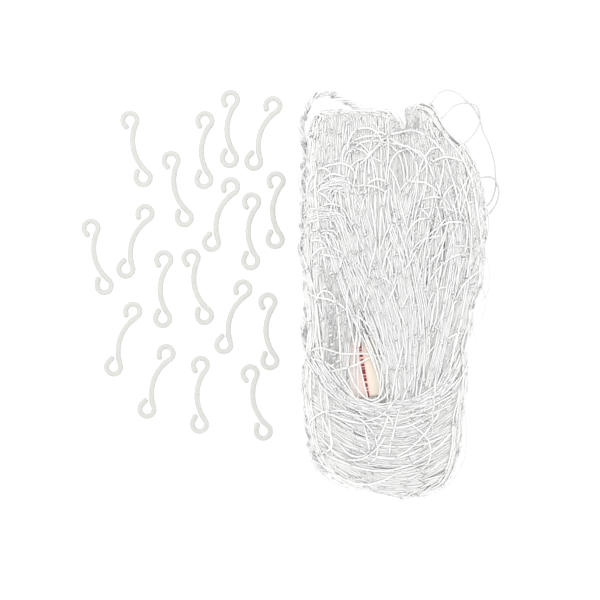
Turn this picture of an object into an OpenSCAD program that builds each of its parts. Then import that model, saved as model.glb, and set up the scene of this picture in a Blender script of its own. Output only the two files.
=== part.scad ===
// Sports net, gathered into a flat hank, with the moulded clips that fasten it to a frame.
// Millimetres. The set lies on the floor at z = 0, and the hank's long direction is Y.

/* [Clip] */
// Distance between the centres of the two end loops
loop_pitch = 53; // [45:1:70]
// Diameter of the bore of an end loop
loop_bore = 8.7; // [7:0.1:12]
// Width of the moulded bar, seen from above
bar_w = 4.3; // [3.4:0.1:5]
// Thickness of the moulded bar, off the floor
bar_t = 4.2; // [3.4:0.1:5]
// Radius on the long edges of the bar
bar_edge_r = 1.2; // [0.6:0.1:1.5]
// How much stouter the shank and the fingers are than the loops, on every side
stouter = 0.15; // [0.1:0.05:0.3]
// How far the middle of the shank bows past the line through the loops' centres
shank_bow = 2.7; // [1:0.1:5]
// Angle that the upper loop's bar turns through before its straight finger
upper_turn = 247; // [225:1:260]
// Length of the upper loop's straight finger
upper_finger = 2.2; // [1:0.1:4]
// Angle that the lower loop's bar turns through before its straight finger
lower_turn = 242; // [225:1:260]
// Length of the lower loop's straight finger
lower_finger = 4.4; // [1:0.1:6]

/* [Net hank] */
// Left wall of the hank
hank_left = 20.5; // [15:0.5:25]
// Right wall of the hank
hank_right = 181.6; // [175:0.2:190]
// Wall where the left fold lies against the right fold
fold_x = 106; // [100:1:112]
// Mouth of the wrapped end, where the two folds go in
mouth_y = -95; // [-110:1:-85]
// Foot of the wrapped end
hank_foot = -184.6; // [-190:0.2:-180]
// Thickness of the hank over its belly
belly_t = 44; // [36:1:50]
// Thickness of the hank at the tops of its folds
top_t = 28; // [22:1:32]
// How far the hank's round underside is pressed flat on the floor
pressed = 1.2; // [0.8:0.1:2]

/* [Rope and lacing] */
// Diameter of the border rope
rope_d = 4.4; // [3:0.2:6]
// Diameter of the net's twine and of its lacing
twine_d = 1.6; // [1.2:0.1:2]

/* [Label] */
// Width of the folded label
label_w = 34; // [24:1:36]
// Length of the folded label
label_l = 54; // [40:1:56]
// Thickness of the folded label
label_t = 0.8; // [0.6:0.1:1.2]
// Corner radius of the label
label_corner = 3; // [1:0.5:5]
// Depth of the label below the top of the hank
label_sunk = 7; // [5:0.5:10]
// Slant of the label from the hank's long direction, in degrees
label_slant = 9; // [0:1:12]

/* [Hidden] */
clip_count = 18;
function clip_name(i) = str("clip_", i + 1 < 10 ? "0" : "", i + 1);

// Where each clip lies: x and y of its middle, and its turn in degrees
CLIP_PLACES = [
    [-49, 149, -1], [-19, 145, -19], [-133, 131, 13], [-72, 130, -1], [-96, 95, 13], [-8, 76, -1],
    [-57, 72, -19], [-30, 57, -1], [-134, 48, -19], [-168, 34, 13], [-78, 7, 13], [-109, 5, -1],
    [-46, -20, -19], [-14, -33, 2], [-145, -40, -19], [-115, -78, -19], [-76, -90, -1], [-25, -97, 13]];

// Border rope: round the top of the left fold, then down the hank's left side
ROPE_ROUTE = [
    [78, 152, 13], [72, 160, 12], [64, 168, 9], [54, 175, 5], [43, 180, 3], [31, 180, 2.6], [22, 174, 2.5],
    [18, 164, 2.5], [16, 150, 2.5], [17, 132, 2.5], [18, 112, 2.5], [18, 90, 2.5], [16, 66, 2.5],
    [16, 40, 2.5], [18, 14, 2.5], [20, -8, 2.5], [18, -32, 2.5], [20, -58, 2.5], [17, -82, 2.5],
    [20, -106, 2.5], [22, -132, 3], [30, -152, 6], [38, -160, 10]];
// Lacing twine: the loops that stand out of the right fold, from one end in the hank to the other
LONG_ROUTE = [
    [128, 164, 11], [134, 175, 8], [139, 181, 4], [147, 184, 1], [156, 181, 0.9], [164, 174, 0.9],
    [170, 168, 0.9], [174, 161, 0.9], [177, 153, 0.9], [179, 146, 0.9], [185, 133, 0.9], [189, 118, 0.9],
    [190, 105, 0.9], [190, 97, 0.9], [187, 86, 1], [182, 80, 4], [174, 76, 9]];
SHORT_ROUTE = [
    [136, 154, 11], [144, 161, 8], [150, 168, 4], [159, 172, 1.2], [166, 172, 2.4], [172, 170, 2.8],
    [175, 165, 1.4], [176, 158, 2.2], [174, 151, 2.6], [170, 144, 1.5], [163, 137, 4], [156, 132, 10]];
SIDE_ROUTE = [
    [171, 103, 11], [177, 105, 6], [182, 106, 2.2], [187, 105, 2.8], [191, 100, 2.4], [193, 93, 0.9],
    [191, 83, 0.9], [187, 76, 1], [181, 70, 4], [173, 66, 9]];
ROPE_SIDES = 10;
TWINE_SIDES = 8;

loop_r = (loop_bore + bar_w) / 2;
loop_y = loop_pitch / 2;
// The shank's arc touches both loops from outside and bows past their centre line
shank_r = (pow(shank_bow, 2) + pow(loop_y, 2) - pow(loop_r, 2)) / (2 * (loop_r + shank_bow));
shank_x = shank_r - shank_bow;
shank_half = atan2(loop_y, shank_x);
root_deg = 8;
finger_root = 1;
belly_r = (belly_t + pressed) / 2;
top_r = (top_t + pressed) / 2;
hull_fn = 32;
beyond = 300;
recess_gap = 0.5;
label_at = [72, -64];

// One point on a smooth line through the route's points, a share u of the way from point i to the next
function route_point(p, i, u) =
    let (n = len(p) - 1, a = p[max(i - 1, 0)], b = p[i], c = p[min(i + 1, n)], d = p[min(i + 2, n)])
    0.5 * (2 * b + u * (c - a) + u * u * (2 * a - 5 * b + 4 * c - d) + u * u * u * (3 * b - a - 3 * c + d));
// The whole line, with a number of steps between one route point and the next
function smooth_route(p, steps) = concat(
    [for (i = [0 : len(p) - 2]) for (k = [0 : steps - 1]) route_point(p, i, k / steps)],
    [p[len(p) - 1]]);
function unit(v) = v / norm(v);
function heading(line, i) = unit(line[min(i + 1, len(line) - 1)] - line[max(i - 1, 0)]);
// The corners of one ring round point i, square to the line there
function ring(line, i, r, sides) =
    let (t = heading(line, i), side = unit(cross(t, [0, 0, 1])), up = cross(side, t))
    [for (k = [0 : sides - 1]) line[i] + r * (cos(360 * k / sides) * side + sin(360 * k / sides) * up)];

// A closed tube of the given diameter along a line
module tube(line, d, sides) {
    n = len(line);
    points = [for (i = [0 : n - 1]) each ring(line, i, d / 2, sides)];
    start = [[for (k = [0 : sides - 1]) k]];
    finish = [[for (k = [sides - 1 : -1 : 0]) (n - 1) * sides + k]];
    wall = [for (i = [0 : n - 2]) for (k = [0 : sides - 1])
        let (a = i * sides + k, b = i * sides + (k + 1) % sides)
        each [[a, a + sides, b + sides], [a, b + sides, b]]];
    polyhedron(points = points, faces = concat(start, wall, finish), convexity = 4);
}

// Section of the moulded bar, stouter by s on every side: flat sides with rounded edges, lying level
module bar_section(s) {
    w = bar_w + 2 * s;
    t = bar_t + 2 * s;
    square([w - 2 * bar_edge_r, t], center = true);
    square([w, t - 2 * bar_edge_r], center = true);
    for (x = [-1, 1], y = [-1, 1])
        translate([x * (w / 2 - bar_edge_r), y * (t / 2 - bar_edge_r)])
            circle(r = bar_edge_r, $fn = 24);
}

// A stretch of bar along an arc about the origin
module bar_arc(r, from, sweep, s) {
    rotate([0, 0, from])
        rotate_extrude(angle = sweep, $fn = 96)
            translate([r, 0]) bar_section(s);
}

// The straight finger that ends a loop, reaching back a little into the loop's bar, with a round bead at its tip
module finger(length) {
    rotate([90, 0, 0])
        translate([0, 0, -length])
            linear_extrude(length + finger_root) bar_section(stouter);
    translate([0, length, 0])
        rotate_extrude($fn = 48)
            intersection() {
                bar_section(2 * stouter);
                translate([0, -bar_t]) square([bar_w, 2 * bar_t]);
            }
}

// An open loop at a clip's upper end, from its root inside the shank round to its finger
module end_loop(turn, length) {
    translate([0, loop_y, 0]) {
        bar_arc(loop_r, -shank_half - root_deg, turn + root_deg, 0);
        rotate([0, 0, turn - shank_half]) translate([loop_r, 0, 0]) finger(length);
    }
}

// One clip: a bowed shank with an open loop at each end, moulded in one piece
module clip() {
    color([0.90, 0.90, 0.88])
        translate([0, 0, bar_t / 2 + 2 * stouter]) {
            translate([shank_x, 0, 0]) bar_arc(shank_r, 180 - shank_half, 2 * shank_half, stouter);
            end_loop(upper_turn, upper_finger);
            mirror([0, 1, 0]) end_loop(lower_turn, lower_finger);
        }
}

module placed_clip(i) {
    translate([CLIP_PLACES[i][0], CLIP_PLACES[i][1], 0]) rotate([0, 0, CLIP_PLACES[i][2]]) clip();
}

// A round swelling of the hank, pressed a little into the floor
module swelling(x, y, r) {
    translate([x, y, r - pressed]) sphere(r = r, $fn = hull_fn);
}

// The part of its children on the floor, between two limits in x and two in y
module kept(x0, x1, y0, y1) {
    intersection() {
        children();
        translate([x0, y0, 0]) cube([x1 - x0, y1 - y0, 2 * belly_t]);
    }
}

// Left fold of the gathered net, with a recess in its top for the label
module net_left_fold() {
    color([0.91, 0.91, 0.90])
        difference() {
            kept(-beyond, fold_x, mouth_y, beyond)
                hull() {
                    swelling(hank_left + top_r, 152, top_r);
                    swelling(fold_x - top_r - 3, 146, top_r);
                    swelling(hank_left + belly_r, 60, belly_r);
                    swelling(fold_x - 8, 60, belly_r);
                    swelling(hank_left + belly_r, mouth_y, belly_r);
                    swelling(fold_x, mouth_y, belly_r);
                }
            translate([label_at[0], label_at[1], belly_t - label_sunk - recess_gap])
                rotate([0, 0, label_slant])
                    translate([-label_w / 2 - recess_gap, -label_l / 2 - recess_gap, 0])
                        cube([label_w + 2 * recess_gap, label_l + 2 * recess_gap, belly_t]);
        }
}

// Right fold of the gathered net, its top slanting down to the right
module net_right_fold() {
    color([0.90, 0.90, 0.90])
        kept(fold_x, beyond, mouth_y, beyond)
            hull() {
                swelling(121, 174 - top_r, top_r * 0.9);
                swelling(140, 150, top_r);
                swelling(155, 112, belly_r * 0.85);
                swelling(hank_right - belly_r, 62, belly_r);
                swelling(hank_right - belly_r, 16, belly_r);
                swelling(hank_right - belly_r - 17, mouth_y, belly_r);
                swelling(fold_x, mouth_y, belly_r);
                swelling(fold_x + 6, 60, belly_r);
            }
}

// The end of the net, wound round the foot of both folds
module net_wrapped_end() {
    foot_r = belly_r * 0.92;
    color([0.92, 0.92, 0.91])
        kept(-beyond, beyond, -beyond, mouth_y)
            hull() {
                swelling(hank_left + belly_r, mouth_y, belly_r);
                swelling(hank_right - belly_r - 20, mouth_y, belly_r);
                swelling(hank_left + belly_r + 3, -136, belly_r);
                swelling(130, -148, belly_r);
                swelling(62, hank_foot + foot_r + 6, foot_r);
                swelling(104, hank_foot + foot_r, foot_r);
            }
}

module border_rope() {
    color([0.93, 0.93, 0.93]) tube(smooth_route(ROPE_ROUTE, 2), rope_d, ROPE_SIDES);
}

module lacing_loop(route) {
    color([0.88, 0.88, 0.90]) tube(smooth_route(route, 2), twine_d, TWINE_SIDES);
}

// Folded label with round corners, lying in the recess of the left fold
module label() {
    color([0.96, 0.88, 0.84])
        translate([label_at[0], label_at[1], belly_t - label_sunk])
            rotate([0, 0, label_slant])
                linear_extrude(label_t) {
                    square([label_w - 2 * label_corner, label_l], center = true);
                    square([label_w, label_l - 2 * label_corner], center = true);
                    for (x = [-1, 1], y = [-1, 1])
                        translate([x * (label_w / 2 - label_corner), y * (label_l / 2 - label_corner)])
                            circle(r = label_corner, $fn = 32);
                }
}

net_left_fold();
net_right_fold();
net_wrapped_end();
border_rope();
label();
lacing_loop(LONG_ROUTE);  // lacing_loop_long
lacing_loop(SHORT_ROUTE);  // lacing_loop_short
lacing_loop(SIDE_ROUTE);  // lacing_loop_side
for (i = [0 : clip_count - 1])
    placed_clip(i);
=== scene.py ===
"""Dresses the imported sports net: the gathered twine, its border rope, lacing loops, label and moulded clips."""

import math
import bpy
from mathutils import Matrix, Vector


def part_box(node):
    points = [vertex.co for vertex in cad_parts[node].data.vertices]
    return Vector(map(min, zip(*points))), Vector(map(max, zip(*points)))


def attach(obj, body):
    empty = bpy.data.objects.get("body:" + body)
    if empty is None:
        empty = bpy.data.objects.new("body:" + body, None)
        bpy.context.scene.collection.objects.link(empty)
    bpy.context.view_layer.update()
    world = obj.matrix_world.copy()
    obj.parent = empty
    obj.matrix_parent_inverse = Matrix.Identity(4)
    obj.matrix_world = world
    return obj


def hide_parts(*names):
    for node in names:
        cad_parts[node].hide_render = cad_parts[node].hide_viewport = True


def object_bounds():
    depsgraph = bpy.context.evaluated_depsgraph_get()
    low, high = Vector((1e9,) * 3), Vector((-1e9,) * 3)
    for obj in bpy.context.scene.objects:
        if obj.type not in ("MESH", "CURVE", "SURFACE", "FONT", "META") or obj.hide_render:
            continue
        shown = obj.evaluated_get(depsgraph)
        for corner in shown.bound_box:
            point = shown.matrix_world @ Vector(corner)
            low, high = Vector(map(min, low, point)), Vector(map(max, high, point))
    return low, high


bl_info = {
    "name": "Sports Net in a Hank",
    "version": (1, 0, 0),
    "blender": (4, 5, 0),
    "location": "View3D > Sidebar > Sports Net",
    "description": "Makes a gathered twine net with its rope, label and clips around a packed frame",
    "category": "Object",
}

import bmesh
import bpy
import numpy as np
from bpy.props import FloatProperty, FloatVectorProperty, IntProperty, PointerProperty
from mathutils import Vector

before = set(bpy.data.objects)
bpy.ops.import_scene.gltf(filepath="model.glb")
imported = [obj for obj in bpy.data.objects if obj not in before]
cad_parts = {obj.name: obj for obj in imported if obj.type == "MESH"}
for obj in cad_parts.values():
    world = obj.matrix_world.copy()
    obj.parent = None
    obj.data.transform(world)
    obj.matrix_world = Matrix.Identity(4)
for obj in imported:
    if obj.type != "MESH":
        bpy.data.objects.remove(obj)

MM = 0.001
CAD_BOX = [[float(x) for x in corner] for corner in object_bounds()]
SEED = 41
# Locks of runs in each fold
LOCKS = 64
# Distance between a run's points while it is laid and settled, in millimetres
SPACING = 2.2
# Sides of the twine of the hank, and the most triangles in one of its pieces
TWINE_SIDES = 6
PIECE_LIMIT = 180000
# Slant of the label from the hank's long direction
LABEL_SLANT = math.radians(9)

CLIP_NODES = sorted(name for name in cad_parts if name.startswith("clip_"))

# Where each clip lies: x and y of its middle in millimetres, and its turn in degrees
CLIP_PLACES = [
    (-49, 149, -1), (-19, 145, -19), (-133, 131, 13), (-72, 130, -1), (-96, 95, 13), (-8, 76, -1),
    (-57, 72, -19), (-30, 57, -1), (-134, 48, -19), (-168, 34, 13), (-78, 7, 13), (-109, 5, -1),
    (-46, -20, -19), (-14, -33, 2), (-145, -40, -19), (-115, -78, -19), (-76, -90, -1), (-25, -97, 13),
]

# Border rope: round the top of the left fold, then down the hank's left side
ROPE_ROUTE = [
    (78, 152, 13), (72, 160, 12), (64, 168, 9), (54, 175, 5), (43, 180, 3), (31, 180, 2.6), (22, 174, 2.5),
    (18, 164, 2.5), (16, 150, 2.5), (17, 132, 2.5), (18, 112, 2.5), (18, 90, 2.5), (16, 66, 2.5),
    (16, 40, 2.5), (18, 14, 2.5), (20, -8, 2.5), (18, -32, 2.5), (20, -58, 2.5), (17, -82, 2.5),
    (20, -106, 2.5), (22, -132, 3), (30, -152, 6), (38, -160, 10),
]

# Lacing twine: the loops that stand out of the right fold, from one end in the hank to the other
LACING_ROUTES = {
    "lacing_loop_long": [
        (128, 164, 11), (134, 175, 8), (139, 181, 4), (147, 184, 1), (156, 181, 0.9), (164, 174, 0.9),
        (170, 168, 0.9), (174, 161, 0.9), (177, 153, 0.9), (179, 146, 0.9), (185, 133, 0.9), (189, 118, 0.9),
        (190, 105, 0.9), (190, 97, 0.9), (187, 86, 1), (182, 80, 4), (174, 76, 9),
    ],
    "lacing_loop_short": [
        (136, 154, 11), (144, 161, 8), (150, 168, 4), (159, 172, 1.2), (166, 172, 2.4), (172, 170, 2.8),
        (175, 165, 1.4), (176, 158, 2.2), (174, 151, 2.6), (170, 144, 1.5), (163, 137, 4), (156, 132, 10),
    ],
    "lacing_loop_side": [
        (171, 103, 11), (177, 105, 6), (182, 106, 2.2), (187, 105, 2.8), (191, 100, 2.4), (193, 93, 0.9),
        (191, 83, 0.9), (187, 76, 1), (181, 70, 4), (173, 66, 9),
    ],
}


# ---------------------------------------------------------------- lines

def smooth_line(points, step):
    """A smooth line through the points, with points of its own about one step apart."""
    p = np.asarray(points, float)
    ends = np.vstack([p[0], p, p[-1]])
    parts = []
    for a, b, c, d in zip(ends[:-3], ends[1:-2], ends[2:-1], ends[3:]):
        count = max(2, int(np.linalg.norm(c - b) / step * 2) + 1)
        u = np.linspace(0, 1, count, endpoint=False)[:, None]
        parts.append(0.5 * (2 * b + u * (c - a) + u**2 * (2 * a - 5 * b + 4 * c - d)
                            + u**3 * (3 * b - a - 3 * c + d)))
    line = np.vstack(parts + [p[-1:]])
    along = np.concatenate([[0], np.cumsum(np.linalg.norm(np.diff(line, axis=0), axis=1))])
    count = max(3, int(round(along[-1] / step)) + 1)
    want = np.linspace(0, along[-1], count)
    return np.column_stack([np.interp(want, along, line[:, k]) for k in range(line.shape[1])])


def ease(low, high, value):
    """0 below low, 1 above high, and smooth between them."""
    u = np.clip((np.asarray(value, float) - low) / (high - low), 0, 1)
    return u * u * (3 - 2 * u)


def thin_out(line, turn=math.radians(7), gap=7.5):
    """The line with the points left out that it hardly bends or moves on at."""
    keep = [0]
    direction = None
    for i in range(1, len(line) - 1):
        step = line[i + 1] - line[i]
        size = np.linalg.norm(step)
        if size < 1e-9:
            continue
        step = step / size
        if direction is None:
            direction = step
        bent = math.acos(max(-1.0, min(1.0, float(step @ direction))))
        if bent > turn or np.linalg.norm(line[i] - line[keep[-1]]) > gap:
            keep.append(i)
            direction = step
    keep.append(len(line) - 1)
    return line[keep]


# ---------------------------------------------------------------- the hank's shape

class Hank:
    """The space that the gathered net fills, in millimetres: its outline from above and its thickness."""

    # Side of a cell of the distance grid
    CELL = 1.0
    # The most that a loop of twine bulges out of the outline
    BULGE = 1.8
    # Where the hank is widest, as a part of its thickness, and how far in its round sides reach over and under it
    WIDEST, ROUND_TOP, ROUND_UNDER = 0.38, 21, 11
    # The dip round the label: its depth, and its half width and half length
    DIP, DIP_WIDE, DIP_LONG = 5.0, 20, 30
    # The valley between the folds: its depth as a part of the upper side, and its half width
    VALLEY, VALLEY_WIDE = 0.3, 8
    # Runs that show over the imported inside, how many more in the wrapped end, and under it
    COVER, COVER_WRAPPED, COVER_UNDER = 5.0, 2.2, 4.2
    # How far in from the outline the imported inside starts, and where it is whole
    RIM, RIM_WHOLE = 3.5, 11.0

    def __init__(self):
        left_low, left_high = (np.array(c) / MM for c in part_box("net_left_fold"))
        right_low, right_high = (np.array(c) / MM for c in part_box("net_right_fold"))
        foot_low, foot_high = (np.array(c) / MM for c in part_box("net_wrapped_end"))
        self.left, self.right, self.fold = left_low[0], right_high[0], right_low[0]
        self.left_top, self.right_top = left_high[1], right_high[1]
        self.mouth, self.foot = foot_high[1], foot_low[1]
        self.thickness = left_high[2]
        self.label = sum(label_box()) / 2
        left, right, fold, mouth, foot = self.left, self.right, self.fold, self.mouth, self.foot
        self.outline = self._wavy(np.array([
            (left - 1, self.left_top - 26), (left - 2, 112), (left - 4, 70), (left - 5, 40), (left - 4, 4),
            (left - 1, -26), (left - 3, -60), (left - 4, -82), (left - 1, mouth - 16), (left + 3, mouth - 40),
            (left + 12, mouth - 58), (left + 26, mouth - 73), (left + 44, mouth - 81), (left + 66, mouth - 85),
            (fold - 2, foot), (fold + 18, foot + 2), (fold + 34, foot + 8), (fold + 45, foot + 21),
            (fold + 51, foot + 40), (fold + 54, foot + 66), (fold + 57, mouth), (fold + 59, -68), (fold + 57, -44),
            (fold + 64, -30), (fold + 66, -8), (right - 3, 10), (right - 2, 36), (right, 66), (right - 2, 90),
            (right - 6, 111), (right - 10, 121), (right - 19, 136), (right - 28, 141),
            (fold + 35, self.right_top - 13), (fold + 28, self.right_top), (fold + 3, self.right_top - 1),
            (fold + 3, 152), (fold - 0.5, 147), (fold - 3, 155), (fold - 6, self.left_top - 6),
            (fold - 14, self.left_top), (left + 22, self.left_top + 1), (left + 7, self.left_top - 5),
        ]))
        self._measure()

    def _wavy(self, corners):
        """The outline with small bulges along it, where loops of twine push out."""
        rng = np.random.default_rng(SEED + 1)
        line = smooth_line(np.vstack([corners, corners[:1]]), 3.0)[:-1]
        way = np.roll(line, -1, axis=0) - np.roll(line, 1, axis=0)
        out = np.column_stack([-way[:, 1], way[:, 0]]) / np.linalg.norm(way, axis=1)[:, None]
        around = np.linspace(0, 1, len(line))
        bulge = sum(rng.normal(0, 0.55) * np.sin(2 * math.pi * (k * around + rng.uniform())) for k in range(18, 46, 3))
        return line + out * np.clip(np.abs(bulge), 0, self.BULGE)[:, None]

    def _measure(self):
        """Distance in from the outline over a grid of square cells, and its slope."""
        low = self.outline.min(axis=0) - 8
        high = self.outline.max(axis=0) + 8
        self.low = low
        xs = np.arange(low[0], high[0], self.CELL)
        ys = np.arange(low[1], high[1], self.CELL)
        gx, gy = np.meshgrid(xs, ys, indexing="ij")
        depth = np.full(gx.shape, 1e9)
        inside = np.zeros(gx.shape, bool)
        for a, b in zip(self.outline, np.roll(self.outline, -1, axis=0)):
            way = b - a
            u = np.clip(((gx - a[0]) * way[0] + (gy - a[1]) * way[1]) / (way @ way), 0, 1)
            depth = np.minimum(depth, np.hypot(gx - a[0] - u * way[0], gy - a[1] - u * way[1]))
            if a[1] != b[1]:
                crossing = (a[1] > gy) != (b[1] > gy)
                inside ^= crossing & (gx < way[0] * (gy - a[1]) / way[1] + a[0])
        self.depth = np.where(inside, depth, -depth)
        self.slope = np.stack(np.gradient(self.depth, self.CELL), axis=-1)

    def look_up(self, grid, x, y):
        """The grid's value at each place, read between its cells."""
        u = np.clip((x - self.low[0]) / self.CELL, 0, grid.shape[0] - 1.001)
        v = np.clip((y - self.low[1]) / self.CELL, 0, grid.shape[1] - 1.001)
        i, j = u.astype(int), v.astype(int)
        fu, fv = u - i, v - j
        if grid.ndim == 3:
            fu, fv = fu[:, None], fv[:, None]
        return ((grid[i, j] * (1 - fu) + grid[i + 1, j] * fu) * (1 - fv)
                + (grid[i, j + 1] * (1 - fu) + grid[i + 1, j + 1] * fu) * fv)

    def belly(self, y):
        """Thickness of the hank along its length."""
        full = self.thickness
        return np.interp(y, [self.foot, self.foot + 14, self.foot + 40, 60, 105, 150, 172],
                         [full * 0.62, full * 0.8, full, full, full * 0.86, full * 0.66, full * 0.5])

    def heights(self, x, y):
        """Lowest and highest place for a line of twine at x, y."""
        full = self.belly(y)
        middle = self.WIDEST * full
        inward = self.look_up(self.depth, x, y)
        top = np.sqrt(np.clip(1 - (1 - np.clip(inward / self.ROUND_TOP, 0, 1)) ** 2, 0, 1))
        under = np.sqrt(np.clip(1 - (1 - np.clip(inward / self.ROUND_UNDER, 0, 1)) ** 2, 0, 1))
        full = full - self.DIP * np.exp(
            -(((x - self.label[0]) / self.DIP_WIDE) ** 2) - ((y - self.label[1]) / self.DIP_LONG) ** 2)
        valley = self.VALLEY * np.exp(-(((x - self.fold) / self.VALLEY_WIDE) ** 2)) * ease(20, 140, y)
        return middle * (1 - under), middle + (full - middle) * top * (1 - valley)

    def heights_at(self, x, y):
        """The same for a single place."""
        low, high = self.heights(np.array([x]), np.array([y]))
        return low[0], high[0]

    def across(self, reach, y, narrow=1.0):
        """x at reach, which is -1 at the left wall and 1 at the right one, and the heights there."""
        x_low, x_high = self.side(y, False) + 1, self.side(y, True) - 1
        x = (x_low + x_high) / 2 + reach * (x_high - x_low) / 2 * narrow
        return (x, *self.heights_at(x, y))

    def filled(self, x, y):
        """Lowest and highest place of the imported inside, under the runs that show."""
        low, high = self.heights(x, y)
        inward = self.look_up(self.depth, x, y)
        cover = self.COVER + self.COVER_WRAPPED * ease(self.mouth + 10, self.mouth - 10, y)
        rim = ease(self.RIM, self.RIM_WHOLE, inward)
        middle = (low + high) / 2
        return middle + (low + self.COVER_UNDER - middle) * rim, middle + (high - cover - middle) * rim

    def keep_in(self, p, radius, proud):
        """Moves points back into the hank; proud is how far each may stand over its top."""
        inward = self.look_up(self.depth, p[:, 0], p[:, 1])
        slope = self.look_up(self.slope, p[:, 0], p[:, 1])
        short = np.clip(radius + 0.3 - inward, 0, None)
        p[:, :2] += slope * short[:, None]
        low, high = self.heights(p[:, 0], p[:, 1])
        in_low, in_high = self.filled(p[:, 0], p[:, 1])
        thick = (in_high - in_low > 2.0) & (inward > 5.0)
        upper = p[:, 2] > (low + high) / 2 - 2
        p[:, 2] = np.where(thick & upper, np.maximum(p[:, 2], in_high + radius), p[:, 2])
        p[:, 2] = np.where(thick & ~upper, np.minimum(p[:, 2], in_low - radius), p[:, 2])
        p[:, 2] = np.clip(p[:, 2], np.maximum(low, 0) + radius, np.maximum(high + proud, low + 3) - radius)

    def shade_depth(self, p):
        """How far down in the hank each point lies, from 0 on its face to 1 at its packed inside; the twine's painted
        shade darkens with it.
        """
        high = self.heights(p[:, 0], p[:, 1])[1]
        under = np.clip((high + 2.0 - p[:, 2]) / 8.0, 0, 1)
        return under.astype(np.float32)

    def side(self, y, right):
        """x of the hank's left or right wall at y."""
        ring = np.vstack([self.outline, self.outline[:1]])
        hits = []
        for a, b in zip(ring[:-1], ring[1:]):
            if (a[1] > y) != (b[1] > y):
                hits.append(a[0] + (b[0] - a[0]) * (y - a[1]) / (b[1] - a[1]))
        return max(hits) if right else min(hits)


# ---------------------------------------------------------------- laying the twine

def wander(rng, size, waves=4):
    """A smooth random function of a number from 0 to 1."""
    strength = rng.normal(0, size, waves) / np.arange(1, waves + 1) ** 0.8
    phase = rng.uniform(0, 2 * math.pi, waves)
    rate = np.arange(1, waves + 1) * rng.uniform(0.7, 1.3, waves)

    def at(u):
        return (strength * np.sin(math.pi * rate * np.asarray(u)[..., None] + phase)).sum(axis=-1)

    return at


def label_box():
    """Lowest and highest corner of the label's place, in millimetres."""
    low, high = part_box("label")
    return np.array(low) / MM, np.array(high) / MM


class Lock:
    """A lock of runs that lie together: where it is across the fold and through its thickness."""

    def __init__(self, rng, across, deep):
        self.across, self.deep = across, deep
        self.sway = wander(rng, 0.035)
        self.roll = wander(rng, 0.16)


def run_point(hank, side, across, deep, y):
    """The place of a run at height y: across from 0 to 1 over its fold, deep from -1 under to 1 on top."""
    if side == "left":
        x_low = hank.side(y, False) + 1.5
        x_high = np.interp(y, [-100, 100, 130, 148, 160], [hank.fold + 4, hank.fold + 3, hank.fold + 1,
                                                          hank.fold - 2, hank.fold - 6])
    else:
        x_low = np.interp(y, [-100, 100, 130, 148, 172], [hank.fold - 4, hank.fold - 3, hank.fold - 1,
                                                         hank.fold + 3, hank.fold + 4])
        x_high = hank.side(y, True) - 1.5
    across = min(max(across, 0.0), 1.0)
    x = x_low + across * (x_high - x_low)
    low, high = hank.heights_at(x, y)
    mid, half = (low + high) / 2, (high - low) / 2
    z = mid + max(-1.0, min(1.0, deep)) * half
    if deep > 0.25:
        # The upper runs draw together at the mouth of the wrapped end, on both sides of the label
        pull = float(ease(20, hank.mouth + 4, y)) if y < 20 else 0.0
        goal = 34 + 26 * across if side == "left" and across < 0.5 else 92 + (26 * across if side == "left"
                                                                             else 22 + 26 * across)
        x += pull * 0.75 * min(1.0, (deep - 0.25) / 0.3) * (goal - x)
    return np.array([x, y, z])


def fold_runs(hank, rng, side, count):
    """Lengthwise runs of one fold, each up the fold, round at its top and down again."""
    locks = []
    for i in range(LOCKS):
        deep = rng.uniform(0.7, 1.0) if i % 4 else rng.uniform(-1.0, -0.7)
        locks.append(Lock(rng, (i * 0.618 + rng.uniform(0, 0.02)) % 1.0, deep))
    lines = []
    for _ in range(count):
        up = locks[int(rng.integers(len(locks)))]
        near = sorted(locks, key=lambda lock: abs(lock.across - up.across) + 0.25 * abs(lock.deep - up.deep))
        down = near[int(rng.integers(1, 9))]
        legs = []
        for lock in (up, down):
            drift, lift = rng.normal(0, 0.03), rng.normal(0, 0.08)
            own, own_lift = wander(rng, 0.02), wander(rng, 0.05)
            foot = rng.uniform(hank.mouth - 62, hank.mouth - 14)
            legs.append((lock, drift, lift, own, own_lift, foot))
        middle = (up.across + down.across) / 2
        if side == "left":
            crown = hank.left_top + 0.5 - 6 * ease(0.7, 1, middle) - 4 * ease(0.15, 0, middle) - abs(rng.normal(0, 3))
            if rng.uniform() < 0.3:
                crown -= rng.uniform(4, 75)
        else:
            crown = np.interp(middle, [0, 0.05, 0.36, 0.5, 0.62, 0.8, 0.93, 1],
                              [165, hank.right_top, hank.right_top, 160, 143, 134, 116, 92])
            crown -= abs(rng.normal(0, 3))
            if rng.uniform() < 0.3:
                crown -= rng.uniform(4, 70)
        halves = []
        for lock, drift, lift, own, own_lift, foot in legs:
            stops = np.concatenate([np.linspace(foot, crown - 26, 9), [crown - 12]])
            points = []
            for y in stops:
                u = (y - hank.foot) / (hank.right_top - hank.foot)
                across = lock.across + drift + float(lock.sway(u)) + float(own(u))
                deep = lock.deep + lift + float(lock.roll(u)) + float(own_lift(u))
                if y < hank.mouth:
                    deep *= 0.62
                points.append(run_point(hank, side, across, deep, y))
            halves.append(points)
        first, second = halves
        a, b = first[-1], second[-1]
        gap = max(np.linalg.norm((b - a)[[0, 2]]), 1e-3)
        if gap < 5:
            b = b + (b - a) / gap * (5 - gap) * np.array([1, 0, 0.4])
            second[-1] = b
        crest = (a + b) / 2
        crest[1] = crown
        shoulder = [a * 0.82 + b * 0.18, a * 0.18 + b * 0.82]
        for point in shoulder:
            point[1] = crown - 3.2
        lines.append(smooth_line(first + [shoulder[0], crest, shoulder[1]] + second[::-1], SPACING))
    return lines


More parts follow.
